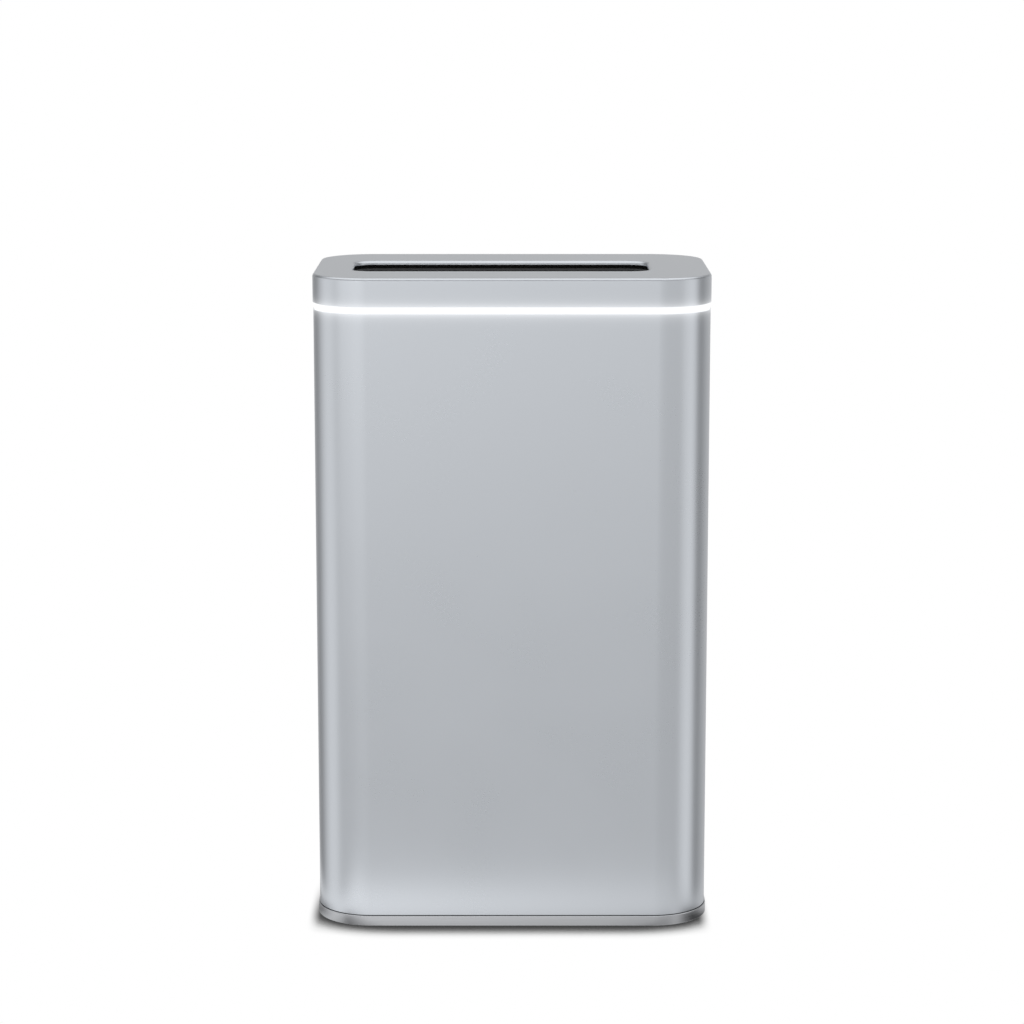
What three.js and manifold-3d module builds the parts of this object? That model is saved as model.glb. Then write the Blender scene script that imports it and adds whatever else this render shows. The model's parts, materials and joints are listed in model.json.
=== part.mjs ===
import * as THREE from "three";
import { mergeVertices } from "three/addons/utils/BufferGeometryUtils.js";
import Module from "manifold-3d";

// A standing box that cleans a flat handheld device with ultraviolet light.
// The device goes in through the slot in the lid and stands on a shelf, which a lead screw lowers into
// a mirrored chamber. Two opposed shutters then close the slot.
// Millimetres, +Z up, front towards -Y, origin on the floor under the middle of the body.

// Enclosure
const bodyWidth = 124;
const bodyDepth = 78;
const totalHeight = 206.5;
const cornerRadius = 17;
const shellWall = 1.5;
const shellEdgeBreak = 0.3;
const footProud = 0.3;
const basePlateThickness = 2.8;
const basePlateProud = 0.4;
const basePlateEdge = 0.4;
const seamGap = 0.4;
const lidHeight = 8.9;
const lidProud = 0.2;
const lidWall = 1.8;
const lidPlateThickness = 1.4;
const lidEdgeRadius = 0.9;

// Light band under the lid
const bandHeight = 2.2;
const bandInset = 0.3;
const bandReach = 3.2;
const stripEndGap = 5.8;
const stripDepth = 3.6;
const stripThickness = 1;
const lampChipLength = 3;
const lampChipDepth = 1.4;
const lampChipHeight = 0.8;
const lampChipCount = 8;

// Slot in the lid
const slotLeftMargin = 11.6;
const slotRightMargin = 18.6;
const slotForwardOffset = 1;
const slotCornerRadius = 6.5;
const slotLipRadius = 1.2;
const sealThickness = 1;
const sealRecess = 1;
const throatWall = 2;
const throatFlangeReach = 3;
const throatFlangeShare = 0.33;

// Gaps
const seatGap = 0.3;
const runningGap = 0.3;
const overrun = 5;

// Screw channels inside the shell's corners, and the screws in them
const channelRadius = 3.2;
const channelBore = 1.5;
const channelInsetX = 7;
const channelInsetY = 9;
const screwRadius = 1.2;
const screwHeadRadius = 2.2;
const screwHeadHeight = 1.4;
const screwLength = 10;

// Feet
const footRadius = 5;
const footThickness = 1.6;
const footEdge = 0.3;
const footInsetX = 18;
const footInsetY = 17;

// Shutters, their deck and their drive
const deckThickness = 1.4;
const deckTabLength = 10;
const deckTabReach = 0.9;
const deckTabInset = 15;
const deckTabRoot = 2;
const shutterThickness = 1.5;
const shutterLap = 0.5;
const shutterCover = 1;
const shutterMeetGap = 0.3;
const shutterParkGap = 2.8;
const shutterEndCover = 2;
const shutterCorner = 2;
const shutterGripDepth = 0.5;
const shutterGripWidth = 1.2;
const shutterGripInset = 3;
const rackBack = 1.2;
const rackRunout = 3;
const armStepWidth = 2;
const armDepth = 3;
const armPinionGap = 3.4;
const armHeightShare = 0.46;
const shutterModule = 0.6;
const shutterPinionTeeth = 10;

// Toothed wheels
const pressureAngle = (25 * Math.PI) / 180;
const addendumShare = 0.8;
const dedendumShare = 1.1;
const toothPlay = 0.15;
const flankSteps = 2;

// Gear motors
const motorWidth = 10;
const motorDepth = 12;
const gearboxHeight = 9;
const motorCanHeight = 14;
const motorCapHeight = 1.6;
const motorCapRadius = 3;
const motorShaftRadius = 1.5;
const motorShaftSeat = 2;
const motorSeatRadius = 4;
const motorSeatHeight = 3;

// Mirrored chamber
const floorThickness = 2;
const reflectorThickness = 0.8;
const chamberLeftMargin = 0.6;
const chamberRightMargin = 2.6;
const chamberChannelStep = 2.5;
const guardThickness = 1.2;
const guardBar = 2.4;
const guardRail = 6;
const guardWindowColumns = 7;
const guardWindowRows = 2;
const lampRoomGap = 0.75;
const lampHolderWall = 0.5;
const lampSpacing = 48;
const lampSeatDepth = 5;
const lampTipRadius = 1.2;
const lampHolderHeight = 10;
const lampHolderEnd = 3;

// Lift
const liftTravel = 68;
const lowerStopGap = 0.5;
const upperStopGap = 1.5;
const shelfSideGap = 2.8;
const shelfThickness = 2.5;
const shelfCorner = 4;
const shelfEndGap = 3.4;
const shelfWindowCount = 6;
const shelfEdge = 5;
const shelfRib = 3;
const padThickness = 1.5;
const padInset = 1;
const padTroughDepth = 0.6;
const padTroughEdge = 4.5;
const armThickness = 6;
const armHeight = 6;
const slitGap = 1;
const carriageHeight = 12;
const carriageWall = 1.2;
const nutRadius = 4.5;
const nutFlangeRadius = 5.2;
const nutFlangeHeight = 1.5;
const leadScrewRadius = 3;
const leadScrewEndRadius = 2;
const guideRodRadius = 1.5;
const bridgeHeight = 5;
const bridgeWall = 1.6;
const bearingWall = 1.4;
const bearingFlange = 1;
const driveClearance = 3;
const liftModule = 0.7;
const screwGearTeeth = 18;
const idlerGearTeeth = 16;
const liftPinionTeeth = 14;
const gearThickness = 4;
const gearHubGap = 0.3;
const gearWallGap = 0.5;
const gearWebDepth = 1.6;
const gearRimShare = 0.72;
const gearHubShare = 0.42;
const gearHubWall = 0.7;
const idlerPinRadius = 1.5;

// Chassis tray and electronics
const trayThickness = 2;
const lowerBayHeight = 15;
const gearLift = 4;
const postRadius = 3;
const postInsetX = 19;
const postInsetY = 11;
const boardPostGap = 5;
const boardFrontMargin = 13.5;
const boardRearMargin = 7.5;
const boardThickness = 1.6;
const boardLift = 3;
const standoffRadius = 2.5;
const standoffInset = 5;
const chipSize = 12;
const chipHeight = 1.2;
const capacitorRadius = 3;
const capacitorHeight = 7;
const capacitorSpacing = 9;
const connectorLength = 16;
const connectorDepth = 5;
const connectorHeight = 6;
const jackOffsetX = -20;
const jackWidth = 9;
const jackLength = 13;
const jackHeight = 9.6;
const jackBarrelRadius = 3.8;
const jackBoreRadius = 2.8;
const jackBoreDepth = 9;
const jackPinRadius = 0.7;
const buttonOffsetX = 20;
const buttonRadius = 4;
const buttonProud = 0.4;
const buttonTravel = 1;
const buttonDish = 0.4;
const buttonFlangeRadius = 5;
const buttonFlangeThickness = 1.5;
const buttonStemRadius = 1.7;
const switchWidth = 7;
const switchLength = 6;
const switchHeight = 8;
const plungerLength = 4.5;

// Smoothness
const cornerSteps = 4;
const roundSides = 16;
const smallSides = 12;
const edgeSteps = 3;
const breakSteps = 1;
const mergeTolerance = 1e-4;

const wasm = await Module();
wasm.setup();

// Geometry helpers: a piece is made as a solid of shared vertices, so that it can be joined and cut.

function solidOf(geometry) {
  const bare = geometry.clone();
  bare.deleteAttribute("normal");
  bare.deleteAttribute("uv");
  bare.clearGroups();
  const merged = mergeVertices(bare, mergeTolerance);
  return new wasm.Manifold(
    new wasm.Mesh({
      numProp: 3,
      vertProperties: merged.attributes.position.array,
      triVerts: new Uint32Array(merged.index.array),
    }),
  );
}

function geometryOf(solid) {
  const { numProp, vertProperties, triVerts } = solid.getMesh();
  const count = vertProperties.length / numProp;
  const positions = new Float32Array(count * 3);
  for (let i = 0; i < count; i += 1) {
    positions.set(vertProperties.subarray(i * numProp, i * numProp + 3), i * 3);
  }
  const geometry = new THREE.BufferGeometry();
  geometry.setAttribute("position", new THREE.BufferAttribute(positions, 3));
  geometry.setIndex(new THREE.BufferAttribute(triVerts, 1));
  return geometry;
}

function outline(width, depth, radius, x = 0, y = 0) {
  const round = Math.min(radius, width / 2, depth / 2);
  const right = x + width / 2 - round;
  const left = x - width / 2 + round;
  const back = y + depth / 2 - round;
  const front = y - depth / 2 + round;
  const quarter = Math.PI / 2;
  const shape = new THREE.Shape();
  shape.absarc(right, front, round, -quarter, 0);
  shape.absarc(right, back, round, 0, quarter);
  shape.absarc(left, back, round, quarter, 2 * quarter);
  shape.absarc(left, front, round, 2 * quarter, 3 * quarter);
  shape.closePath();
  return shape;
}

function prism(shape, bottom, top, steps = cornerSteps) {
  const geometry = new THREE.ExtrudeGeometry(shape, {
    depth: top - bottom,
    bevelEnabled: false,
    curveSegments: steps,
  });
  geometry.translate(0, 0, bottom);
  return solidOf(geometry);
}

// A solid through level outlines of equal point counts, from the lowest to the highest.
function loft(levels, x = 0, y = 0) {
  const rings = levels.map(({ width, depth, radius }) => {
    const ring = outline(width, depth, radius, x, y).getPoints(cornerSteps);
    return ring[0].distanceTo(ring.at(-1)) < mergeTolerance ? ring.slice(0, -1) : ring;
  });
  const count = rings[0].length;
  const positions = rings.flatMap((ring, k) => ring.flatMap((p) => [p.x, p.y, levels[k].z]));
  const cap = THREE.ShapeUtils.triangulateShape(rings[0], []);
  const last = (rings.length - 1) * count;
  const index = cap.flatMap(([a, b, c]) => [a, c, b, last + a, last + b, last + c]);
  for (let k = 0; k < rings.length - 1; k += 1) {
    for (let i = 0; i < count; i += 1) {
      const a = k * count + i;
      const b = k * count + ((i + 1) % count);
      index.push(a, b, b + count, a, b + count, a + count);
    }
  }
  const geometry = new THREE.BufferGeometry();
  geometry.setAttribute("position", new THREE.Float32BufferAttribute(positions, 3));
  geometry.setIndex(index);
  return solidOf(geometry);
}

// Levels of a block whose lower and upper edges are rounded by a quarter circle.
function roundedLevels(width, depth, radius, bottom, top, lowerEdge, upperEdge, steps = edgeSteps) {
  const levels = [];
  const level = (z, inset) =>
    levels.push({ z, width: width - 2 * inset, depth: depth - 2 * inset, radius: radius - inset });
  for (let i = 0; i <= steps && lowerEdge > 0; i += 1) {
    const turn = (i / steps) * (Math.PI / 2);
    level(bottom + lowerEdge * (1 - Math.cos(turn)), lowerEdge * (1 - Math.sin(turn)));
  }
  if (!lowerEdge) level(bottom, 0);
  for (let i = 0; i <= steps && upperEdge > 0; i += 1) {
    const turn = (i / steps) * (Math.PI / 2);
    level(top - upperEdge * (1 - Math.sin(turn)), upperEdge * (1 - Math.cos(turn)));
  }
  if (!upperEdge) level(top, 0);
  return levels;
}

function block([left, right], [front, back], [bottom, top]) {
  const geometry = new THREE.BoxGeometry(right - left, back - front, top - bottom);
  geometry.translate((left + right) / 2, (front + back) / 2, (bottom + top) / 2);
  return solidOf(geometry);
}

function rod(radius, bottom, top, x = 0, y = 0, sides = smallSides) {
  const geometry = new THREE.CylinderGeometry(radius, radius, top - bottom, sides);
  geometry.rotateX(Math.PI / 2);
  geometry.translate(x, y, (bottom + top) / 2);
  return solidOf(geometry);
}

function rodAlongY(radius, front, back, x, z, sides = smallSides) {
  const geometry = new THREE.CylinderGeometry(radius, radius, back - front, sides);
  geometry.translate(x, (front + back) / 2, z);
  return solidOf(geometry);
}

// A turned piece about the Z axis, from [radius, height] pairs that start and end on the axis.
function turned(profile, sides = roundSides) {
  const points = profile.map(([radius, height]) => new THREE.Vector2(radius, height));
  const geometry = new THREE.LatheGeometry(points, sides);
  geometry.rotateX(Math.PI / 2);
  return solidOf(geometry);
}

const union = (first, ...rest) => rest.reduce((sum, each) => sum.add(each), first);
const cut = (first, ...rest) => rest.reduce((left, each) => left.subtract(each), first);

function finish(color, roughness, metalness, more = {}) {
  return new THREE.MeshStandardMaterial({ color, roughness, metalness, ...more });
}

const satinAluminium = finish(0xc3c5c8, 0.38, 0.9);
const brushedAluminium = finish(0xb9bbbe, 0.3, 0.95);
const mirrorAluminium = finish(0xd8dadc, 0.12, 1);
const lightGuide = finish(0xf4f8ff, 0.5, 0, { emissive: 0xffffff });
const sealFoam = finish(0x0c0c0d, 0.9, 0);
const throatPlastic = finish(0x3c3e41, 0.5, 0);
const framePlastic = finish(0x1d1e20, 0.55, 0);
const gearPlastic = finish(0xe8e6df, 0.45, 0);
const steel = finish(0x9b9da1, 0.3, 1);
const brass = finish(0xb08d4a, 0.35, 1);
const boardGreen = finish(0x1c4a33, 0.5, 0);
const quartz = finish(0xe6ecf4, 0.08, 0);
const rubber = finish(0x151516, 0.85, 0);
const silicone = finish(0x2a2b2e, 0.7, 0);

const part = new THREE.Group();

function add(name, solid, material, position = [0, 0, 0], turn = 0) {
  const mesh = new THREE.Mesh(geometryOf(solid), material);
  mesh.name = name;
  mesh.position.set(...position);
  mesh.rotation.z = turn;
  part.add(mesh);
  return mesh;
}

// Levels of the stack, from the floor up
const basePlateTop = footProud + basePlateThickness;
const shellBottom = basePlateTop + seamGap;
const lidBottom = totalHeight - lidHeight;
const shellTop = lidBottom - bandHeight;
const trayTop = basePlateTop + trayThickness;
const floorBottom = trayTop + lowerBayHeight;
const floorTop = floorBottom + floorThickness;
const deckBottom = lidBottom;
const deckTop = deckBottom + deckThickness;
const shutterBottom = deckTop + runningGap;
const shutterTop = shutterBottom + shutterThickness;
const throatBottom = shutterTop + runningGap;
const lidPlateBottom = totalHeight - lidPlateThickness;
const throatTop = lidPlateBottom - sealThickness;
const throatHeight = throatTop - throatBottom;

// Outlines that follow the shell
const innerWidth = bodyWidth - 2 * shellWall;
const innerDepth = bodyDepth - 2 * shellWall;
const innerRadius = cornerRadius - shellWall;
const channelX = bodyWidth / 2 - channelInsetX;
const channelY = bodyDepth / 2 - channelInsetY;
const lidWidth = bodyWidth + 2 * lidProud;
const lidDepth = bodyDepth + 2 * lidProud;
const lidRadius = cornerRadius + lidProud;
const slotLeft = slotLeftMargin - bodyWidth / 2;
const slotRight = bodyWidth / 2 - slotRightMargin;
const slotLength = slotRight - slotLeft;
const slotCentreX = (slotLeft + slotRight) / 2;
const slotCentreY = -slotForwardOffset;

// The slot is as deep as the lid allows with the front shutter parked between it and the lid's wall.
const slotDepth =
  lidDepth / 2 - lidWall - shutterParkGap - slotForwardOffset - 2 * shutterLap - shutterCover;
const slotFront = slotCentreY - slotDepth / 2;
const slotBack = slotCentreY + slotDepth / 2;

const corners = [
  ["front_left", -1, -1],
  ["front_right", 1, -1],
  ["rear_left", -1, 1],
  ["rear_right", 1, 1],
];

// The height of the jack and the button, between the board and the chamber floor
const boardTop = trayTop + boardLift + boardThickness;
const rearPortZ = boardTop + jackHeight / 2;

function bodyShell() {
  const levels = roundedLevels(
    bodyWidth,
    bodyDepth,
    cornerRadius,
    shellBottom,
    shellTop,
    shellEdgeBreak,
    shellEdgeBreak,
    breakSteps,
  );
  const inside = prism(
    outline(innerWidth, innerDepth, innerRadius),
    shellBottom - overrun,
    shellTop + overrun,
  );
  const channels = corners.map(([, sx, sy]) =>
    rod(channelRadius, shellBottom - overrun, shellTop + overrun, sx * channelX, sy * channelY),
  );
  const bores = corners.map(([, sx, sy]) =>
    rod(channelBore, shellBottom - overrun, shellTop + overrun, sx * channelX, sy * channelY),
  );
  const back = bodyDepth / 2;
  const wallFront = back - shellWall - overrun;
  return cut(
    loft(levels),
    cut(inside, ...channels),
    ...bores,
    rodAlongY(jackBarrelRadius + seatGap, wallFront, back + overrun, jackOffsetX, rearPortZ, roundSides),
    rodAlongY(buttonRadius + runningGap, wallFront, back + overrun, buttonOffsetX, rearPortZ, roundSides),
  );
}

const footX = bodyWidth / 2 - footInsetX;
const footY = bodyDepth / 2 - footInsetY;

function basePlate() {
  const levels = roundedLevels(
    bodyWidth + 2 * basePlateProud,
    bodyDepth + 2 * basePlateProud,
    cornerRadius + basePlateProud,
    footProud,
    basePlateTop,
    basePlateEdge,
    basePlateEdge,
    2 * breakSteps,
  );
  const recesses = corners.map(([, sx, sy]) =>
    rod(footRadius + seatGap, footProud - overrun, footThickness, sx * footX, sy * footY, roundSides),
  );
  const screwHoles = corners.flatMap(([, sx, sy]) => [
    rod(screwRadius + seatGap, footProud - overrun, basePlateTop + overrun, sx * channelX, sy * channelY),
    rod(
      screwHeadRadius + seatGap,
      footProud - overrun,
      footProud + screwHeadHeight,
      sx * channelX,
      sy * channelY,
    ),
  ]);
  return cut(loft(levels), ...recesses, ...screwHoles);
}

function topLid() {
  const outside = loft(
    roundedLevels(lidWidth, lidDepth, lidRadius, lidBottom, totalHeight, 0, lidEdgeRadius),
  );
  const inside = prism(
    outline(lidWidth - 2 * lidWall, lidDepth - 2 * lidWall, lidRadius - lidWall),
    lidBottom - overrun,
    lidPlateBottom,
  );
  const lipLevels = [{ z: lidPlateBottom - overrun, grow: 0 }];
  for (let i = 0; i <= edgeSteps; i += 1) {
    const turn = (i / edgeSteps) * (Math.PI / 2);
    lipLevels.push({
      z: totalHeight - slotLipRadius * (1 - Math.sin(turn)),
      grow: slotLipRadius * (1 - Math.cos(turn)),
    });
  }
  lipLevels.push({ z: totalHeight + overrun, grow: slotLipRadius });
  const slot = loft(
    lipLevels.map(({ z, grow }) => ({
      z,
      width: slotLength + 2 * grow,
      depth: slotDepth + 2 * grow,
      radius: slotCornerRadius + grow,
    })),
    slotCentreX,
    slotCentreY,
  );
  const pockets = deckTabs(deckTabReach, seatGap);
  return cut(outside, inside, slot, ...pockets);
}

// Tabs on the deck's front and rear edge, or with a margin the pockets that they snap into.
function deckTabs(reach, margin) {
  const edge = lidDepth / 2 - lidWall;
  const spacing = bodyWidth / 2 - cornerRadius - deckTabInset;
  const half = deckTabLength / 2 + margin;
  return [-1, 1].flatMap((sx) =>
    [-1, 1].map((sy) => {
      const near = edge - deckTabRoot;
      const far = edge - seatGap + reach + (margin ? seatGap : 0);
      const middle = sx * spacing;
      return block(
        [middle - half, middle + half],
        sy > 0 ? [near, far] : [-far, -near],
        [deckBottom + (margin ? -overrun : 0), deckTop + margin],
      );
    }),
  );
}

function lightBand() {
  const width = bodyWidth - 2 * bandInset;
  const depth = bodyDepth - 2 * bandInset;
  const radius = cornerRadius - bandInset;
  const outside = prism(outline(width, depth, radius), shellTop, lidBottom);
  const inside = prism(
    outline(width - 2 * bandReach, depth - 2 * bandReach, radius - bandReach),
    shellTop - overrun,
    lidBottom + overrun,
  );
  const ears = corners.map(([, sx, sy]) =>
    rod(channelRadius, shellTop - overrun, lidBottom + overrun, sx * channelX, sy * channelY),
  );
  const holes = corners.map(([, sx, sy]) =>
    rod(screwRadius + seatGap, shellTop - overrun, lidBottom + overrun, sx * channelX, sy * channelY),
  );
  return cut(outside, cut(inside, ...ears), ...holes);
}

// A strip of lamps that shines up into the band's inner edge.
function lampStrip(side) {
  const stripLength = 2 * (channelX - channelRadius - stripEndGap);
  const chipTop = shellTop - seatGap;
  const stripTop = chipTop - lampChipHeight;
  const outer = innerDepth / 2 - seatGap;
  const middle = outer - stripDepth / 2;
  const board = block(
    [-stripLength / 2, stripLength / 2],
    [side * middle - stripDepth / 2, side * middle + stripDepth / 2],
    [stripTop - stripThickness, stripTop],
  );
  const chips = Array.from({ length: lampChipCount }, (_, i) => {
    const x = ((i + 0.5) / lampChipCount - 0.5) * stripLength;
    return block(
      [x - lampChipLength / 2, x + lampChipLength / 2],
      [side * middle - lampChipDepth / 2, side * middle + lampChipDepth / 2],
      [stripTop - stripThickness / 2, chipTop],
    );
  });
  return union(board, ...chips);
}

function addEnclosure() {
  add("body_shell", bodyShell(), satinAluminium);
  add("base_plate", basePlate(), brushedAluminium);
  add("top_lid", topLid(), satinAluminium);
  add("light_band", lightBand(), lightGuide);
  add("front_lamp_strip", lampStrip(-1), boardGreen);
  add("rear_lamp_strip", lampStrip(1), boardGreen);
  const foot = turned([
    [0, 0],
    [footRadius - footEdge, 0],
    [footRadius, footEdge],
    [footRadius, footThickness],
    [0, footThickness],
  ]);
  const baseScrew = turned(
    [
      [0, 0],
      [screwHeadRadius, 0],
      [screwHeadRadius, screwHeadHeight],
      [screwRadius, screwHeadHeight],
      [screwRadius, screwLength],
      [0, screwLength],
    ],
    smallSides,
  );
  for (const [place, sx, sy] of corners) {
    add(`foot_${place}`, foot, rubber, [sx * footX, sy * footY, 0]);
    add(`base_screw_${place}`, baseScrew, steel, [sx * channelX, sy * channelY, footProud]);
  }
}

// Toothed wheels and racks have stub involute teeth.

const involute = (angle) => Math.tan(angle) - angle;
const pitchRadius = (teeth, modulus) => (teeth * modulus) / 2;
const tipRadius = (teeth, modulus) => pitchRadius(teeth, modulus) + addendumShare * modulus;

function gearOutline(teeth, modulus) {
  const pitch = pitchRadius(teeth, modulus);
  const base = pitch * Math.cos(pressureAngle);
  const tip = tipRadius(teeth, modulus);
  const root = pitch - dedendumShare * modulus;
  const flankStart = Math.max(base, root);
  const halfTooth = Math.PI / (2 * teeth) - toothPlay / (2 * pitch);
  const halfAngle = (radius) =>
    halfTooth + involute(pressureAngle) - involute(Math.acos(Math.min(1, base / radius)));
  const flank = Array.from({ length: flankSteps + 1 }, (_, i) => {
    const radius = flankStart + ((tip - flankStart) * i) / flankSteps;
    return { radius, half: halfAngle(radius) };
  });
  const side = [{ radius: root, half: halfAngle(flankStart) }, ...flank];
  const points = [];
  for (let tooth = 0; tooth < teeth; tooth += 1) {
    const middle = (2 * Math.PI * tooth) / teeth;
    const point = (radius, angle) =>
      points.push(new THREE.Vector2(radius * Math.cos(angle), radius * Math.sin(angle)));
    side.forEach(({ radius, half }) => point(radius, middle - half));
    [...side].reverse().forEach(({ radius, half }) => point(radius, middle + half));
  }
  return new THREE.Shape(points);
}

// A gear with its web recessed from above between rim and hub, standing on z = 0.
function gear(teeth, modulus, thickness, bore) {
  const root = pitchRadius(teeth, modulus) - dedendumShare * modulus;
  const recess = (bottom, top) =>
    cut(
      rod(root * gearRimShare, bottom, top, 0, 0, roundSides),
      rod(Math.max(root * gearHubShare, bore + gearHubWall), bottom, top),
    );
  return cut(
    prism(gearOutline(teeth, modulus), 0, thickness),
    rod(bore, -overrun, thickness + overrun),
    recess(thickness - gearWebDepth, thickness + overrun),
  );
}

// A straight rack in the plane of the shutters. Its pitch line is at x, its teeth point to side,
// and one of its gaps is centred on y. Its teeth run from start to end.
function rackOutline(modulus, x, y, start, end, side) {
  const pitch = Math.PI * modulus;
  const addendum = addendumShare * modulus;
  const dedendum = dedendumShare * modulus;
  const slope = Math.tan(pressureAngle);
  const half = pitch / 4 - toothPlay / 2;
  const rootX = x - side * dedendum;
  const tipX = x + side * addendum;
  const backX = rootX - side * rackBack;
  const points = [new THREE.Vector2(backX, start), new THREE.Vector2(rootX, start)];
  const first = Math.ceil((start - y) / pitch);
  const last = Math.floor((end - y) / pitch) - 1;
  for (let k = first; k <= last; k += 1) {
    const middle = y + (k + 0.5) * pitch;
    const rootHalf = half + dedendum * slope;
    const tipHalf = half - addendum * slope;
    points.push(new THREE.Vector2(rootX, middle - rootHalf));
    points.push(new THREE.Vector2(tipX, middle - tipHalf));
    points.push(new THREE.Vector2(tipX, middle + tipHalf));
    points.push(new THREE.Vector2(rootX, middle + rootHalf));
  }
  points.push(new THREE.Vector2(rootX, end), new THREE.Vector2(backX, end));
  return new THREE.Shape(points);
}

// Shutter layout, from the slot to the right: the throat, the rear shutter's step, the front rack,
// the pinion and the rear rack.
const throatRight = slotRight + throatWall;
const stepLeft = throatRight + runningGap;
const stepRight = stepLeft + armStepWidth;
const frontRackPitchX = stepRight + runningGap + rackBack + dedendumShare * shutterModule;
const shutterPinionX = frontRackPitchX + pitchRadius(shutterPinionTeeth, shutterModule);
const shutterPinionY = slotCentreY;
const rearRackPitchX = shutterPinionX + pitchRadius(shutterPinionTeeth, shutterModule);
const shutterTravel = slotDepth / 2 + shutterLap - shutterMeetGap / 2;
const shutterDepth = slotDepth / 2 + shutterLap + shutterCover;
const shutterLeft = slotLeft - shutterEndCover;
const rackStart = shutterPinionY - shutterTravel - rackRunout;
const rackEnd = shutterPinionY + rackRunout;

// Two grooves near the closing edge stiffen the shutter.
function shutterGrooves(edge, direction) {
  return [1, 2].map((row) => {
    const y = edge + direction * shutterGripInset * row;
    return block(
      [slotLeft, slotRight],
      [y - shutterGripWidth / 2, y + shutterGripWidth / 2],
      [shutterTop - shutterGripDepth, shutterTop + overrun],
    );
  });
}

function frontShutter() {
  const closingEdge = slotFront - shutterLap;
  const right = frontRackPitchX - dedendumShare * shutterModule;
  const plate = prism(
    outline(
      right - shutterLeft,
      shutterDepth,
      shutterCorner,
      (right + shutterLeft) / 2,
      closingEdge - shutterDepth / 2,
    ),
    shutterBottom,
    shutterTop,
  );
  const rack = prism(
    rackOutline(
      shutterModule,
      frontRackPitchX,
      shutterPinionY,
      rackStart,
      rackEnd,
      1,
    ),
    shutterBottom,
    shutterTop,
  );
  return cut(union(plate, rack), ...shutterGrooves(closingEdge, -1));
}

function rearShutter() {
  const closingEdge = slotBack + shutterLap;
  const rearRackRoot = rearRackPitchX + dedendumShare * shutterModule;
  const rearRackBack = rearRackRoot + rackBack;
  const armFront =
    shutterPinionY +
    tipRadius(shutterPinionTeeth, shutterModule) +
    shutterTravel +
    armPinionGap;
  const armBack = armFront + armDepth;
  const armTop = throatBottom + throatHeight * armHeightShare;
  const plate = prism(
    outline(
      stepRight - shutterLeft,
      shutterDepth,
      shutterCorner,
      (stepRight + shutterLeft) / 2,
      closingEdge + shutterDepth / 2,
    ),
    shutterBottom,
    shutterTop,
  );
  const mirroredStart = 2 * shutterPinionY - rackEnd;
  const mirroredEnd = 2 * shutterPinionY - rackStart;
  const rack = prism(
    rackOutline(
      shutterModule,
      rearRackPitchX,
      shutterPinionY,
      mirroredStart,
      mirroredEnd,
      -1,
    ),
    shutterBottom,
    shutterTop,
  );
  return cut(
    union(
      plate,
      rack,
      block([rearRackRoot, rearRackBack], [mirroredEnd - rackRunout, armBack], [shutterBottom, armTop]),
      block([stepLeft, stepRight], [armFront, armBack], [shutterBottom, armTop]),
      block([stepLeft, rearRackBack], [armFront, armBack], [throatBottom, armTop]),
    ),
    ...shutterGrooves(closingEdge, 1),
  );
}

// The pinion and its shaft are one turned and toothed piece. The shaft drops into the motor below.
const shutterMotorTop = deckBottom - motorSeatHeight;

function shutterPinion() {
  const shaft = rod(
    motorShaftRadius,
    shutterMotorTop - motorShaftSeat + runningGap,
    shutterTop,
  );
  return union(prism(gearOutline(shutterPinionTeeth, shutterModule), shutterBottom, shutterTop), shaft);
}

function shutterDeck() {
  const margin = 2 * (lidWall + seatGap);
  const plate = prism(
    outline(lidWidth - margin, lidDepth - margin, lidRadius - lidWall - seatGap),
    deckBottom,
    deckTop,
  );
  const slot = prism(
    outline(slotLength, slotDepth, slotCornerRadius, slotCentreX, slotCentreY),
    deckBottom - overrun,
    deckTop + overrun,
  );
  const motorSeat = rod(
    motorSeatRadius,
    shutterMotorTop,
    deckTop,
    shutterPinionX,
    shutterPinionY,
    roundSides,
  );
  const shaftHole = rod(
    motorShaftRadius + runningGap,
    shutterMotorTop - overrun,
    deckTop + overrun,
    shutterPinionX,
    shutterPinionY,
  );
  const screwHoles = corners.map(([, sx, sy]) =>
    rod(screwRadius + seatGap, deckBottom - overrun, deckTop + overrun, sx * channelX, sy * channelY),
  );
  return cut(union(plate, motorSeat, ...deckTabs(deckTabReach, 0)), slot, shaftHole, ...screwHoles);
}

function throatFrame() {
  const width = slotLength + 2 * throatWall;
  const depth = slotDepth + 2 * throatWall;
  const radius = slotCornerRadius + throatWall;
  const flangeBottom = throatTop - throatHeight * throatFlangeShare;
  const wall = prism(outline(width, depth, radius, slotCentreX, slotCentreY), throatBottom, throatTop);
  const flange = prism(
    outline(
      width + 2 * throatFlangeReach,
      depth + 2 * throatFlangeReach,
      radius + throatFlangeReach,
      slotCentreX,
      slotCentreY,
    ),
    flangeBottom,
    throatTop,
  );
  const opening = prism(
    outline(slotLength, slotDepth, slotCornerRadius, slotCentreX, slotCentreY),
    throatBottom - overrun,
    throatTop + overrun,
  );
  return cut(union(wall, flange), opening);
}

function slotSeal() {
  const grow = throatWall + throatFlangeReach;
  const outer = prism(
    outline(
      slotLength + 2 * grow,
      slotDepth + 2 * grow,
      slotCornerRadius + grow,
      slotCentreX,
      slotCentreY,
    ),
    throatTop,
    lidPlateBottom,
  );
  const inner = prism(
    outline(
      slotLength + 2 * sealRecess,
      slotDepth + 2 * sealRecess,
      slotCornerRadius + sealRecess,
      slotCentreX,
      slotCentreY,
    ),
    throatTop - overrun,
    lidPlateBottom + overrun,
  );
  return cut(outer, inner);
}

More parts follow.
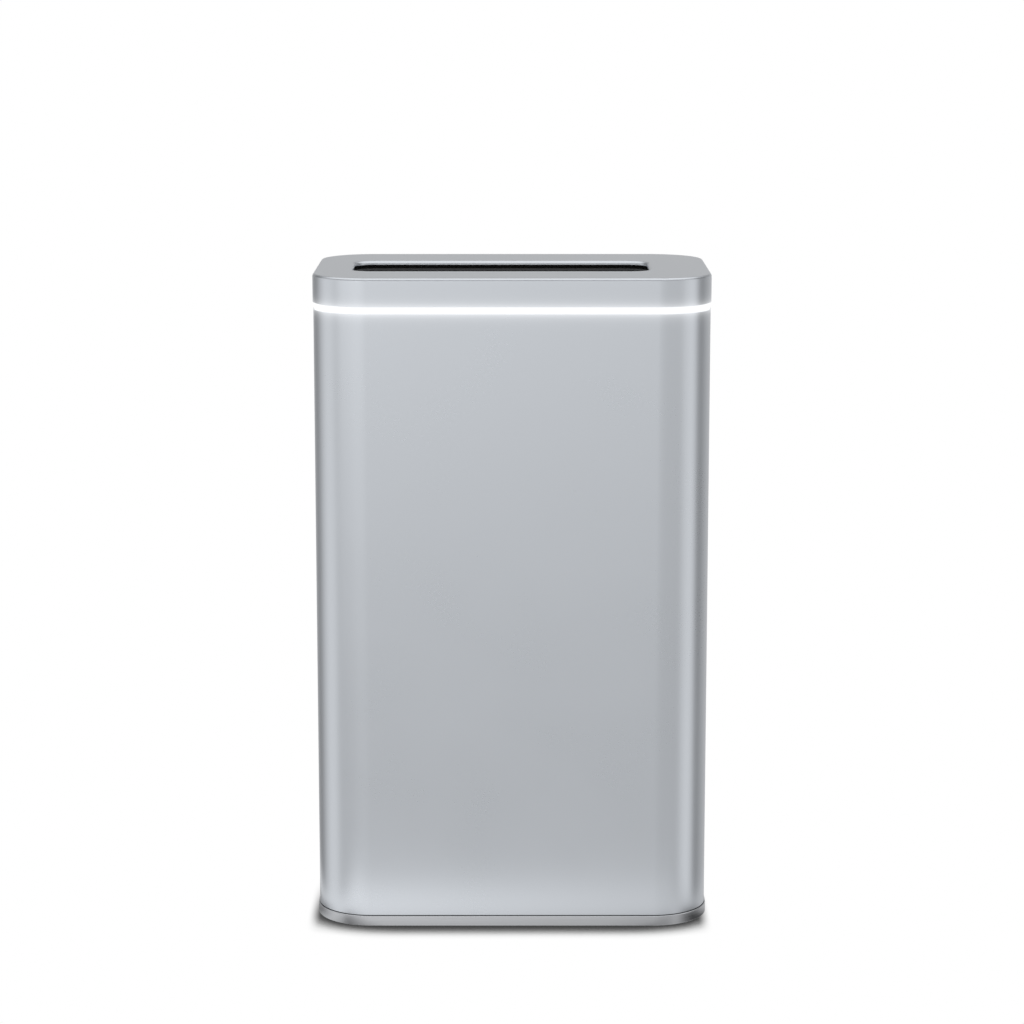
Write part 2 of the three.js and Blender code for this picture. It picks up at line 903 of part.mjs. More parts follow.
// A gear motor: a flat gearbox, a round can cut flat on two sides and a small end cap.
// It stands on z = 0 with its output bore facing down.
function gearMotor() {
  const gearbox = block(
    [-motorWidth / 2, motorWidth / 2],
    [-motorDepth / 2, motorDepth / 2],
    [0, gearboxHeight],
  );
  const canTop = gearboxHeight + motorCanHeight;
  const can = rod(motorDepth / 2, gearboxHeight / 2, canTop, 0, 0, roundSides).intersect(
    block(
      [-motorWidth / 2, motorWidth / 2],
      [-motorDepth / 2, motorDepth / 2],
      [gearboxHeight / 2, canTop],
    ),
  );
  const cap = rod(motorCapRadius, gearboxHeight, canTop + motorCapHeight);
  const bore = rod(motorShaftRadius + runningGap, -overrun, motorShaftSeat);
  return cut(union(gearbox, can, cap), bore);
}

function addShutterUnit() {
  add("shutter_deck", shutterDeck(), framePlastic);
  add("throat_frame", throatFrame(), throatPlastic);
  add("slot_seal", slotSeal(), sealFoam);
  add("front_shutter", frontShutter(), throatPlastic);
  add("rear_shutter", rearShutter(), throatPlastic);
  add("shutter_pinion", shutterPinion(), steel, [shutterPinionX, shutterPinionY, 0]);
  const motor = gearMotor().mirror([0, 0, 1]);
  add("shutter_motor", motor, steel, [shutterPinionX, shutterPinionY, shutterMotorTop]);
  const deckScrew = turned(
    [
      [0, -screwLength],
      [screwRadius, -screwLength],
      [screwRadius, 0],
      [screwHeadRadius, 0],
      [screwHeadRadius, screwHeadHeight],
      [0, screwHeadHeight],
    ],
    smallSides,
  );
  for (const [place, sx, sy] of corners) {
    add(`deck_screw_${place}`, deckScrew, steel, [sx * channelX, sy * channelY, deckTop]);
  }
}

// Chamber walls, from the slot's ends and the chamber's own depth
const chamberLeft = slotLeft - chamberLeftMargin;
const chamberRight = slotRight + chamberRightMargin;
const chamberMiddle = (chamberLeft + chamberRight) / 2;
const chamberHalfDepth = channelY - chamberChannelStep;
const lampHolderDepth = chamberHalfDepth + slotFront - guardThickness - 2 * lampRoomGap;
const lampRadius = lampHolderDepth / 2 - lampHolderWall;
const reflectorRight = chamberRight + reflectorThickness;

// Drive bay between the right reflector and the shell
const screwGearTip = tipRadius(screwGearTeeth, liftModule);
const screwX = innerWidth / 2 - gearWallGap - screwGearTip;
const guideRodSpacing = nutFlangeRadius + runningGap + carriageWall + guideRodRadius + runningGap;
const carriageHalfDepth = guideRodSpacing + guideRodRadius + runningGap + carriageWall;
const liftMotorY = -(channelY - channelRadius - driveClearance - motorDepth / 2);
const screwY = liftMotorY + motorDepth / 2 + runningGap + carriageHalfDepth;
const frontRodY = screwY - guideRodSpacing;
const rearRodY = screwY + guideRodSpacing;
const carriageBottom = floorTop + bearingFlange + lowerStopGap + liftTravel;
const carriageTop = carriageBottom + carriageHeight;
const bridgeBottom = carriageTop + nutFlangeHeight + upperStopGap;
const bridgeTop = bridgeBottom + bridgeHeight;
const gearBottom = trayTop + gearLift;

// The idler stands at the third corner of the triangle of gear centres, on the side of the chamber.
const screwToIdler = pitchRadius(screwGearTeeth + idlerGearTeeth, liftModule);
const idlerToPinion = pitchRadius(idlerGearTeeth + liftPinionTeeth, liftModule);
const screwToPinion = screwY - liftMotorY;
const idlerAlong =
  (screwToIdler ** 2 - idlerToPinion ** 2 + screwToPinion ** 2) / (2 * screwToPinion);
const idlerX = screwX - Math.sqrt(screwToIdler ** 2 - idlerAlong ** 2);
const idlerY = screwY - idlerAlong;

// The turn that puts a gap of the next gear on a tooth of the one before it.
function meshTurn(from, fromTeeth, fromTurn, to, teeth) {
  const line = Math.atan2(to[1] - from[1], to[0] - from[0]);
  const toothShare = (fromTeeth * (line - fromTurn)) / (2 * Math.PI);
  return line + Math.PI - ((2 * Math.PI) / teeth) * (0.5 - toothShare);
}

function chamberFloor() {
  const margin = 2 * seatGap;
  const plate = prism(
    outline(innerWidth - margin, innerDepth - margin, innerRadius - seatGap),
    floorBottom,
    floorTop,
  );
  const notches = corners.map(([, sx, sy]) =>
    rod(channelRadius + seatGap, floorBottom - overrun, floorTop + overrun, sx * channelX, sy * channelY),
  );
  const hole = (radius, x, y) => rod(radius, floorBottom - overrun, floorTop + overrun, x, y);
  return cut(
    plate,
    ...notches,
    hole(leadScrewRadius + runningGap + bearingWall + seatGap, screwX, screwY),
    hole(guideRodRadius + seatGap, screwX, frontRodY),
    hole(guideRodRadius + seatGap, screwX, rearRodY),
    hole(motorShaftRadius + runningGap, screwX, liftMotorY),
  );
}

function sideReflector(left, right) {
  const half = chamberHalfDepth - seatGap;
  return block([left, right], [-half, half], [floorTop, deckBottom]);
}

function guard(y) {
  const left = chamberLeft + seatGap;
  const right = chamberRight - seatGap;
  const plate = block(
    [left, right],
    [y - guardThickness / 2, y + guardThickness / 2],
    [floorTop, deckBottom],
  );
  const columnPitch = (right - left - guardBar) / guardWindowColumns;
  const rowPitch = (deckBottom - floorTop - guardRail) / guardWindowRows;
  const windows = [];
  for (let column = 0; column < guardWindowColumns; column += 1) {
    for (let row = 0; row < guardWindowRows; row += 1) {
      const x = left + guardBar + column * columnPitch;
      const z = floorTop + guardRail + row * rowPitch;
      windows.push(
        block(
          [x, x + columnPitch - guardBar],
          [y - guardThickness, y + guardThickness],
          [z, z + rowPitch - guardRail],
        ),
      );
    }
  }
  return cut(plate, ...windows);
}

// A block that holds the ends of two lamps. Its sockets open at the face towards the lamps.
function lampHolder(y, bottom, top, socketBottom, socketTop) {
  const half = lampSpacing / 2 + lampRadius + lampHolderEnd;
  const body = block(
    [chamberMiddle - half, chamberMiddle + half],
    [y - lampHolderDepth / 2, y + lampHolderDepth / 2],
    [bottom, top],
  );
  const sockets = [-1, 1].map((side) =>
    rod(
      lampRadius + seatGap,
      socketBottom,
      socketTop,
      chamberMiddle + (side * lampSpacing) / 2,
      y,
      roundSides,
    ),
  );
  return cut(body, ...sockets);
}

const guardFrontY = slotFront - guardThickness / 2;
const guardBackY = slotBack + guardThickness / 2;

function addChamber() {
  add("chamber_floor", chamberFloor(), framePlastic);
  const wallFront = -chamberHalfDepth;
  const wallBack = chamberHalfDepth;
  const wallEnds = [chamberLeft - reflectorThickness, reflectorRight];
  const height = [floorTop, deckBottom];
  const frontWall = block(wallEnds, [wallFront - reflectorThickness, wallFront], height);
  const rearWall = block(wallEnds, [wallBack, wallBack + reflectorThickness], height);
  add("front_reflector", frontWall, mirrorAluminium);
  add("rear_reflector", rearWall, mirrorAluminium);
  add("left_reflector", sideReflector(wallEnds[0], chamberLeft), mirrorAluminium);
  const slit = block(
    [chamberRight - overrun, reflectorRight + overrun],
    [screwY - armThickness / 2 - slitGap, screwY + armThickness / 2 + slitGap],
    [floorTop - overrun, carriageBottom + armHeight + slitGap],
  );
  add("right_reflector", cut(sideReflector(chamberRight, reflectorRight), slit), mirrorAluminium);
  add("front_guard", guard(guardFrontY), brushedAluminium);
  add("rear_guard", guard(guardBackY), brushedAluminium);

  const lowerTop = floorTop + lampHolderHeight;
  const upperBottom = deckBottom - lampHolderHeight;
  const lowerSeat = lowerTop - lampSeatDepth;
  const upperSeat = upperBottom + lampSeatDepth;
  const lampLength = upperSeat - lowerSeat - 2 * seatGap;
  const lamp = turned([
    [0, 0],
    [lampRadius - lampTipRadius, 0],
    [lampRadius, lampTipRadius],
    [lampRadius, lampLength - lampTipRadius],
    [lampRadius - lampTipRadius, lampLength],
    [0, lampLength],
  ]);
  const rows = [
    ["front", (guardFrontY - guardThickness / 2 + wallFront) / 2],
    ["rear", (guardBackY + guardThickness / 2 + wallBack) / 2],
  ];
  for (const [row, y] of rows) {
    const lower = lampHolder(y, floorTop, lowerTop, lowerSeat, lowerTop + overrun);
    const upper = lampHolder(y, upperBottom, deckBottom, upperBottom - overrun, upperSeat);
    add(`${row}_lower_lamp_holder`, lower, framePlastic);
    add(`${row}_upper_lamp_holder`, upper, framePlastic);
    for (const [place, side] of [["left", -1], ["right", 1]]) {
      add(`${row}_${place}_uv_lamp`, lamp, quartz, [
        chamberMiddle + (side * lampSpacing) / 2,
        y,
        lowerSeat + seatGap,
      ]);
    }
  }
}

// A flanged bush that fills a hole between bottom and top, with its flange above it.
function flangedBush(shaftRadius, bottom, top) {
  const outer = shaftRadius + runningGap + bearingWall;
  const bore = shaftRadius + runningGap;
  return cut(
    union(
      rod(outer, bottom, top, 0, 0, roundSides),
      rod(outer + bearingFlange, top, top + bearingFlange, 0, 0, roundSides),
    ),
    rod(bore, bottom - overrun, top + bearingFlange + overrun),
  );
}

const shelfDepth = slotDepth - 2 * shelfSideGap;

function liftCarriage() {
  const shelfLeft = chamberLeft + shelfEndGap;
  const shelfRight = chamberRight - shelfEndGap;
  const middle = (shelfLeft + shelfRight) / 2;
  const length = shelfRight - shelfLeft;
  const shelfTop = carriageBottom + shelfThickness;
  const shelf = prism(
    outline(length, shelfDepth, shelfCorner, middle, slotCentreY),
    carriageBottom,
    shelfTop,
  );
  const pitch = (length - 2 * shelfRib) / shelfWindowCount;
  const windows = Array.from({ length: shelfWindowCount }, (_, i) => {
    const x = shelfLeft + shelfRib + (i + 0.5) * pitch;
    return prism(
      outline(pitch - shelfRib, shelfDepth - 2 * shelfEdge, shelfRib, x, slotCentreY),
      carriageBottom - overrun,
      shelfTop + overrun,
      breakSteps,
    );
  });
  const nutBore = nutRadius + seatGap;
  const blockHalf = nutFlangeRadius + runningGap;
  const carrier = block(
    [screwX - blockHalf, screwX + blockHalf],
    [screwY - carriageHalfDepth, screwY + carriageHalfDepth],
    [carriageBottom, carriageTop],
  );
  const arm = block(
    [shelfRight - shelfRib, screwX - blockHalf / 2],
    [screwY - armThickness / 2, screwY + armThickness / 2],
    [carriageBottom, carriageBottom + armHeight],
  );
  const padClear = block(
    [shelfLeft - overrun, shelfRight - padInset + seatGap],
    [slotCentreY - shelfDepth / 2, slotCentreY + shelfDepth / 2],
    [shelfTop, shelfTop + armHeight],
  );
  const through = (radius, y, sides) =>
    rod(radius, carriageBottom - overrun, carriageTop + overrun, screwX, y, sides);
  return cut(
    union(cut(shelf, ...windows), cut(arm, padClear), carrier),
    through(nutBore, screwY, roundSides),
    through(guideRodRadius + runningGap, frontRodY),
    through(guideRodRadius + runningGap, rearRodY),
  );
}

// The pad lies on the shelf, with a shallow trough that centres the device.
function shelfPad() {
  const left = chamberLeft + shelfEndGap + padInset;
  const right = chamberRight - shelfEndGap - padInset;
  const bottom = carriageBottom + shelfThickness;
  const top = bottom + padThickness;
  const depth = shelfDepth - 2 * padInset;
  const troughHalf = depth / 2 - padTroughEdge;
  const pad = prism(
    outline(
      right - left,
      depth,
      shelfCorner - padInset,
      (left + right) / 2,
      slotCentreY,
    ),
    bottom,
    top,
  );
  const trough = block(
    [left - overrun, right + overrun],
    [slotCentreY - troughHalf, slotCentreY + troughHalf],
    [top - padTroughDepth, top + overrun],
  );
  return cut(pad, trough);
}

function driveNut() {
  const bore = leadScrewRadius + runningGap;
  return cut(
    union(
      rod(nutRadius, carriageBottom, carriageTop, 0, 0, roundSides),
      rod(nutFlangeRadius, carriageTop, carriageTop + nutFlangeHeight, 0, 0, roundSides),
    ),
    rod(bore, carriageBottom - overrun, carriageTop + nutFlangeHeight + overrun),
  );
}

function bearingBridge() {
  const half = guideRodSpacing + guideRodRadius + seatGap + bridgeWall;
  const bearingHole = leadScrewEndRadius + runningGap + bearingWall + seatGap;
  const through = (radius, y) =>
    rod(radius, bridgeBottom - overrun, bridgeTop + overrun, screwX, y, roundSides);
  const ends = [reflectorRight + seatGap, innerWidth / 2 - gearWallGap];
  return cut(
    block(ends, [screwY - half, screwY + half], [bridgeBottom, bridgeTop]),
    through(bearingHole, screwY),
    through(guideRodRadius + seatGap, frontRodY),
    through(guideRodRadius + seatGap, rearRodY),
  );
}

// The screw's ends are turned down where they run in the tray and in the upper bearing.
function leadScrew() {
  const lowEnd = trayTop - trayThickness / 2 + runningGap;
  const shoulder = bridgeBottom - runningGap;
  const highEnd = bridgeTop + bearingFlange + runningGap;
  return turned([
    [0, lowEnd],
    [leadScrewEndRadius, lowEnd],
    [leadScrewEndRadius, trayTop + runningGap],
    [leadScrewRadius, trayTop + runningGap],
    [leadScrewRadius, shoulder],
    [leadScrewEndRadius, shoulder],
    [leadScrewEndRadius, highEnd],
    [0, highEnd],
  ]);
}

function addLift() {
  const rodShape = rod(guideRodRadius, floorBottom, bridgeTop);
  const onScrew = [screwX, screwY, 0];
  add("front_guide_rod", rodShape, steel, [screwX, frontRodY, 0]);
  add("rear_guide_rod", rodShape, steel, [screwX, rearRodY, 0]);
  add("bearing_bridge", bearingBridge(), framePlastic);
  add("upper_bearing", flangedBush(leadScrewEndRadius, bridgeBottom, bridgeTop), brass, onScrew);
  add("lower_bearing", flangedBush(leadScrewRadius, floorBottom, floorTop), brass, onScrew);
  add("lead_screw", leadScrew(), steel, onScrew);
  add("lift_carriage", liftCarriage(), framePlastic);
  add("shelf_pad", shelfPad(), silicone);
  add("drive_nut", driveNut(), brass, onScrew);

  const screwBore = leadScrewRadius + gearHubGap;
  const screwGear = gear(screwGearTeeth, liftModule, gearThickness, screwBore);
  add("screw_gear", screwGear, gearPlastic, [screwX, screwY, gearBottom]);
  const idlerTurn = meshTurn([screwX, screwY], screwGearTeeth, 0, [idlerX, idlerY], idlerGearTeeth);
  const idlerBore = idlerPinRadius + runningGap;
  add(
    "idler_gear",
    gear(idlerGearTeeth, liftModule, gearThickness, idlerBore),
    gearPlastic,
    [idlerX, idlerY, gearBottom],
    idlerTurn,
  );
  const pinionTurn = meshTurn(
    [idlerX, idlerY],
    idlerGearTeeth,
    idlerTurn,
    [screwX, liftMotorY],
    liftPinionTeeth,
  );
  const shaftTop = floorTop - gearBottom + motorShaftSeat - runningGap;
  const pinion = union(
    prism(gearOutline(liftPinionTeeth, liftModule), 0, gearThickness),
    rod(motorShaftRadius, 0, shaftTop),
  );
  add("lift_pinion", pinion, brass, [screwX, liftMotorY, gearBottom], pinionTurn);
  add("lift_motor", gearMotor(), steel, [screwX, liftMotorY, floorTop]);
}

const postX = bodyWidth / 2 - postInsetX;
const postY = bodyDepth / 2 - postInsetY;
const boardWidth = 2 * (postX - postRadius - boardPostGap);
const boardFront = boardFrontMargin - innerDepth / 2;
const boardBack = innerDepth / 2 - boardRearMargin;

function chassisTray() {
  const margin = 2 * seatGap;
  const plate = prism(
    outline(innerWidth - margin, innerDepth - margin, innerRadius - seatGap),
    basePlateTop,
    trayTop,
  );
  const notches = corners.map(([, sx, sy]) =>
    rod(channelRadius + seatGap, basePlateTop - overrun, trayTop + overrun, sx * channelX, sy * channelY),
  );
  const rootZ = trayTop - trayThickness / 2;
  const posts = corners.map(([, sx, sy]) =>
    rod(postRadius, rootZ, floorBottom, sx * postX, sy * postY),
  );
  const standoffs = corners.map(([, sx, sy]) =>
    rod(
      standoffRadius,
      rootZ,
      trayTop + boardLift,
      sx * (boardWidth / 2 - standoffInset),
      sy < 0 ? boardFront + standoffInset : boardBack - standoffInset,
    ),
  );
  const pinTop = gearBottom + gearThickness + runningGap;
  const idlerPin = union(
    rod(idlerPinRadius, rootZ, pinTop, idlerX, idlerY),
    rod(idlerPinRadius + bearingFlange, rootZ, gearBottom - runningGap, idlerX, idlerY),
  );
  const screwSeat = rod(leadScrewEndRadius + runningGap, rootZ, trayTop + overrun, screwX, screwY);
  return cut(union(cut(plate, ...notches), ...posts, ...standoffs, idlerPin), screwSeat);
}

function mainBoard() {
  const bottom = trayTop + boardLift;
  const embed = boardThickness / 2;
  const middleY = (boardFront + boardBack) / 2;
  const capacitorY = (boardFront + middleY) / 2;
  const board = block([-boardWidth / 2, boardWidth / 2], [boardFront, boardBack], [bottom, boardTop]);
  const chip = block(
    [-chipSize / 2, chipSize / 2],
    [middleY - chipSize, middleY],
    [boardTop - embed, boardTop + chipHeight],
  );
  const capacitors = [-1, 0, 1].map((k) =>
    rod(
      capacitorRadius,
      boardTop - embed,
      boardTop + capacitorHeight,
      -boardWidth / 4,
      capacitorY + k * capacitorSpacing,
    ),
  );
  const connector = block(
    [boardWidth / 4 - connectorLength / 2, boardWidth / 4 + connectorLength / 2],
    [boardFront + embed, boardFront + embed + connectorDepth],
    [boardTop - embed, boardTop + connectorHeight],
  );
  return union(board, chip, ...capacitors, connector);
}

// The inlet's barrel fills its hole in the shell, flush with the outside.
function powerJack() {
  const back = bodyDepth / 2;
  const bodyBack = back - shellWall - seatGap;
  const body = block(
    [jackOffsetX - jackWidth / 2, jackOffsetX + jackWidth / 2],
    [bodyBack - jackLength, bodyBack],
    [boardTop, boardTop + jackHeight],
  );
  const barrel = rodAlongY(jackBarrelRadius, bodyBack - seatGap, back, jackOffsetX, rearPortZ, roundSides);
  const boreEnd = back - jackBoreDepth;
  const bore = rodAlongY(jackBoreRadius, boreEnd, back + overrun, jackOffsetX, rearPortZ);
  const pin = rodAlongY(jackPinRadius, boreEnd - seatGap, back - shellWall, jackOffsetX, rearPortZ);
  return union(cut(union(body, barrel), bore), pin);
}

const buttonFlangeBack = bodyDepth / 2 - shellWall - runningGap;
const buttonFlangeFront = buttonFlangeBack - buttonFlangeThickness;
const stemFront = buttonFlangeFront - buttonTravel - seatGap;
const switchBack = stemFront - buttonTravel;

function rearButton() {
  const back = bodyDepth / 2 + buttonProud;
  return cut(
    union(
      rodAlongY(buttonRadius, buttonFlangeFront, back, buttonOffsetX, rearPortZ, roundSides),
      rodAlongY(
        buttonFlangeRadius,
        buttonFlangeFront,
        buttonFlangeBack,
        buttonOffsetX,
        rearPortZ,
        roundSides,
      ),
      rodAlongY(buttonStemRadius, stemFront, back - buttonProud, buttonOffsetX, rearPortZ),
    ),
    rodAlongY(
      buttonRadius - buttonDish * 2,
      back - buttonDish,
      back + overrun,
      buttonOffsetX,
      rearPortZ,
      roundSides,
    ),
  );
}

function buttonSwitch() {
  const body = block(
    [buttonOffsetX - switchWidth / 2, buttonOffsetX + switchWidth / 2],
    [switchBack - switchLength, switchBack],
    [boardTop, boardTop + switchHeight],
  );
  const bore = rodAlongY(
    buttonStemRadius + runningGap,
    stemFront - plungerLength - buttonTravel - runningGap,
    switchBack + overrun,
    buttonOffsetX,
    rearPortZ,
  );
  return cut(body, bore);
}

function addBase() {
  add("chassis_tray", chassisTray(), framePlastic);
  add("main_board", mainBoard(), boardGreen);
  add("power_jack", powerJack(), framePlastic);
  add("rear_button", rearButton(), framePlastic);
  add(
    "switch_plunger",
    rodAlongY(buttonStemRadius, stemFront - plungerLength, stemFront, buttonOffsetX, rearPortZ),
    gearPlastic,
  );
  add("button_switch", buttonSwitch(), framePlastic);
}

addEnclosure();
addShutterUnit();
addChamber();
addLift();
addBase();

export default part;
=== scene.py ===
# %% [markdown]
# # A standing box that cleans a handheld device with ultraviolet light
# The CAD model already says how large every piece is and where it sits. This lesson gives the pieces
# their finish. The outer covers are rounded sheet metal, so they are modelled again with finer curves,
# while the small parts inside are softened copies of the CAD pieces.
# Loading the model first means that every measurement below can be read from it.

# %% Load the CAD model as a fixed frame
import json
import math
import bmesh
import bpy
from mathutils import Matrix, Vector


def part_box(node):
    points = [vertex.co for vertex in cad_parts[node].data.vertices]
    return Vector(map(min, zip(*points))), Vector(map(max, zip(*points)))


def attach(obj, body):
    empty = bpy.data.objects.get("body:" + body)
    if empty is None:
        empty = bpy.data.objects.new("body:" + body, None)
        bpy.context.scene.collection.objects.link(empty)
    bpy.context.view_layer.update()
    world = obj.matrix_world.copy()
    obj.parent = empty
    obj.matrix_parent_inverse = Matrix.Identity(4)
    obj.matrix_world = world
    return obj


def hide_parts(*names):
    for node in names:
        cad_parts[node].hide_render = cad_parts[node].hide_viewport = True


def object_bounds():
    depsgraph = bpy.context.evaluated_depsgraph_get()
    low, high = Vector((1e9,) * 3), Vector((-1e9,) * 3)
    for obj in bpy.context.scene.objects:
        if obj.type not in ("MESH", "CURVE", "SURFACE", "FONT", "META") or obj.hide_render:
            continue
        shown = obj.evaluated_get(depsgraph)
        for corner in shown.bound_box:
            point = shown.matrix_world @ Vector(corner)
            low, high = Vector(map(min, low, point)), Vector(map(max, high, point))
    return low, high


MM = 0.001
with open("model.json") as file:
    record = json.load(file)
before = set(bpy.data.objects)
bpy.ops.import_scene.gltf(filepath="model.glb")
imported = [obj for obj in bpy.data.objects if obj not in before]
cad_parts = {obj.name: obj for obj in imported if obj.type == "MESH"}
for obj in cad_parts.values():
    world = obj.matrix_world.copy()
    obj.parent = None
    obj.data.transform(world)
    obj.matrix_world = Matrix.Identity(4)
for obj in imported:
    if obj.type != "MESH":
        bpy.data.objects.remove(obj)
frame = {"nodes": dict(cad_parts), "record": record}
bpy.ops.object.select_all(action="DESELECT")
cad_low, cad_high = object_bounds()
print("CAD box in mm", [round(side / MM, 1) for side in cad_high - cad_low])

# %% [markdown]
# ## Camera
# The box was seen from the front with a long lens, a little from above. A long lens far away keeps the
# upright edges almost parallel, which is how product pictures are usually taken.

# %% Camera
camera_distance = 967.3 * MM
camera_height = 303.5 * MM
camera_tilt = math.pi / 2 - math.radians(10.36)
camera_lens = 106.9
sensor_width = 36

bpy.ops.object.camera_add(location=(0, -camera_distance, camera_height), rotation=(camera_tilt, 0, 0))
camera = bpy.context.object
camera.data.lens = camera_lens
camera.data.sensor_width = sensor_width
bpy.context.scene.camera = camera
bpy.context.scene.view_settings.view_transform = "Standard"
print("camera at", [round(x, 3) for x in camera.location])

# %% [markdown]
# ## Shader maths as Python
# Node trees grow quickly when every sum is a node that is placed by hand. The small class below wraps a
# socket, so that `0.3 + 0.1 * grain` adds its own Math nodes. One method makes every other node.

# %% A socket that understands arithmetic
class Value:
    """A shader socket that Python's operators work on."""

    def __init__(self, tree, socket):
        self.tree = tree
        self.socket = socket

    def __add__(self, other):
        return self.tree.math("ADD", self, other)

    def __sub__(self, other):
        return self.tree.math("SUBTRACT", self, other)

    def __rsub__(self, other):
        return self.tree.math("SUBTRACT", other, self)

    def __mul__(self, other):
        return self.tree.math("MULTIPLY", self, other)

    def __truediv__(self, other):
        return self.tree.math("DIVIDE", self, other)

    def __pow__(self, other):
        return self.tree.math("POWER", self, other)

    __radd__ = __add__
    __rmul__ = __mul__


# %% A node tree that is written as expressions
class Tree:
    """The nodes of one material or of the world."""

    def __init__(self, owner, empty=True):
        owner.use_nodes = True
        self.nodes = owner.node_tree
        if empty:
            self.nodes.nodes.clear()

    def node(self, kind, sockets=None, **settings):
        """Makes any node: its settings first, then the values or links of its sockets."""
        made = self.nodes.nodes.new(kind)
        for name, value in settings.items():
            setattr(made, name, value)
        for name, value in (sockets or {}).items():
            self.feed(made.inputs[name], value)
        return made

    def value(self, kind, sockets=None, output=0, **settings):
        """Makes a node and gives back one of its outputs."""
        return Value(self, self.node(kind, sockets, **settings).outputs[output])

    def feed(self, socket, value):
        if isinstance(value, Value):
            self.nodes.links.new(value.socket, socket)
        else:
            socket.default_value = value

    def math(self, operation, *values):
        return self.value("ShaderNodeMath", dict(enumerate(values)), operation=operation)

    def place(self):
        """The point on the piece, in metres, which moves with the piece."""
        return self.value("ShaderNodeTexCoord", output="Object")

    def stretched(self, vector, scale):
        return self.value("ShaderNodeMapping", {"Vector": vector, "Scale": scale})

    def axes(self, vector):
        return [Value(self, one) for one in self.node("ShaderNodeSeparateXYZ", {"Vector": vector}).outputs]

    def noise(self, vector, scale, detail=2, roughness=0.5):
        sockets = {"Vector": vector, "Scale": scale, "Detail": detail, "Roughness": roughness}
        return self.value("ShaderNodeTexNoise", sockets)

    def ramp(self, value, stops, interpolation="LINEAR"):
        """A value looked up in a list of (position, brightness)."""
        made = self.node("ShaderNodeValToRGB", {"Fac": value})
        made.color_ramp.interpolation = interpolation
        elements = made.color_ramp.elements
        while len(elements) < len(stops):
            elements.new(1)
        for element, (position, level) in zip(elements, stops):
            element.position = position
            element.color = grey(level)
        return Value(self, made.outputs["Color"])

    def rise(self, value, start, end):
        """0 before start, 1 after end, and a smooth step between them."""
        sockets = {"Value": value, "From Min": start, "From Max": end}
        return self.value("ShaderNodeMapRange", sockets, interpolation_type="SMOOTHSTEP")

    def mix(self, factor, first, second):
        """Two colours mixed by a factor."""
        return self.value("ShaderNodeMix", {0: factor, 6: first, 7: second}, output=2, data_type="RGBA")

    def either(self, factor, first, second):
        """The first shader where the factor is 0, the second where it is 1."""
        return self.value("ShaderNodeMixShader", {0: factor, 1: first, 2: second})

    def rays(self):
        """Whether a ray comes from the camera, a gloss or a glass."""
        found = self.node("ShaderNodeLightPath").outputs
        return [Value(self, found[f"Is {kind} Ray"]) for kind in ("Camera", "Glossy", "Transmission")]


def grey(level):
    return (level, level, level, 1)


# %% [markdown]
# ## The light
# Satin metal is almost all reflection, so the surroundings matter more than its own colour. The world
# is an evenly lit white room. For reflections alone it is a product studio, painted by compass point
# and height: a broad soft box on the left, a narrower one on the right with a dark panel behind it, a
# bright strip along the front horizon and a large panel overhead. The camera itself sees plain white.

# %% The studio's walls, by degrees from the front
studio_walls = [
    (-180, 0.68), (-160, 0.58), (-143, 0.32), (-128, 0.36), (-115, 0.70), (-98, 0.96), (-82, 0.94),
    (-66, 0.60), (-40, 0.59), (-20, 0.64), (-3, 0.655), (5, 0.60), (35, 0.62), (52, 0.57), (65, 0.86),
    (80, 1.02), (90, 0.86), (101, 0.34), (112, 0.35), (128, 0.54), (150, 0.64), (180, 0.68),
]
front_strip = [(-80, 0.0), (-52, 0.76), (-28, 0.84), (-5, 0.78), (5, 0.42), (22, 0.23), (50, 0.25), (75, 0.0)]
strip_lower_edge = (-0.19, -0.08)
strip_upper_edge = (0.08, 0.20)
upper_walls = (0.12, 0.35)
upper_walls_fade = 0.4
ceiling = (0.45, 0.8)
ceiling_level = 1.2
diffuse_level = 0.95


def compass_stops(stops):
    """Degrees from the front, negative to the left, as places on a ramp."""
    return [(degrees / 360 + 0.5, level) for degrees, level in stops]


# %% World
world = bpy.data.worlds.new("studio")
bpy.context.scene.world = world
room = Tree(world)

aside, backward, upward = room.axes(room.value("ShaderNodeTexCoord", output="Generated"))
compass = room.math("ARCTAN2", aside, backward * -1) / math.tau + 0.5
walls = room.ramp(compass, compass_stops(studio_walls), "EASE")
in_strip = room.rise(upward, *strip_lower_edge) * (1 - room.rise(upward, *strip_upper_edge))
strip = room.ramp(compass, compass_stops(front_strip), "EASE") * in_strip
lit_walls = walls * (1 - upper_walls_fade * room.rise(upward, *upper_walls)) + strip
reflected = room.mix(room.rise(upward, *ceiling), lit_walls, grey(ceiling_level))

from_camera, from_gloss, from_glass = room.rays()
diffuse_light = room.value("ShaderNodeBackground", {"Color": grey(1), "Strength": diffuse_level})
studio_light = room.value("ShaderNodeBackground", {"Color": reflected, "Strength": 1})
white_light = room.value("ShaderNodeBackground", {"Color": grey(1), "Strength": 1})
unseen = room.either(from_gloss, diffuse_light, studio_light)
seen = room.either(room.math("MAXIMUM", from_camera, from_glass), unseen, white_light)
room.node("ShaderNodeOutputWorld", {"Surface": seen})
print("world nodes", len(world.node_tree.nodes))

# %% [markdown]
# The floor is white to the camera and only darkens close to what stands on it. Ambient Occlusion, which
# tells how much of the sky a point sees within a short distance, gives that contact shadow. The shadow is
# deep in front and behind, and only a thin line along the sides.
# Reflections don't see the floor, but for a bright patch in front and behind, which lights the foot. Close
# to the base plate the patch is dark and light by turns round the corners, as the gaps between panels
# are, and right under the plate it is bright, which draws a thin line of light along the lower edge.

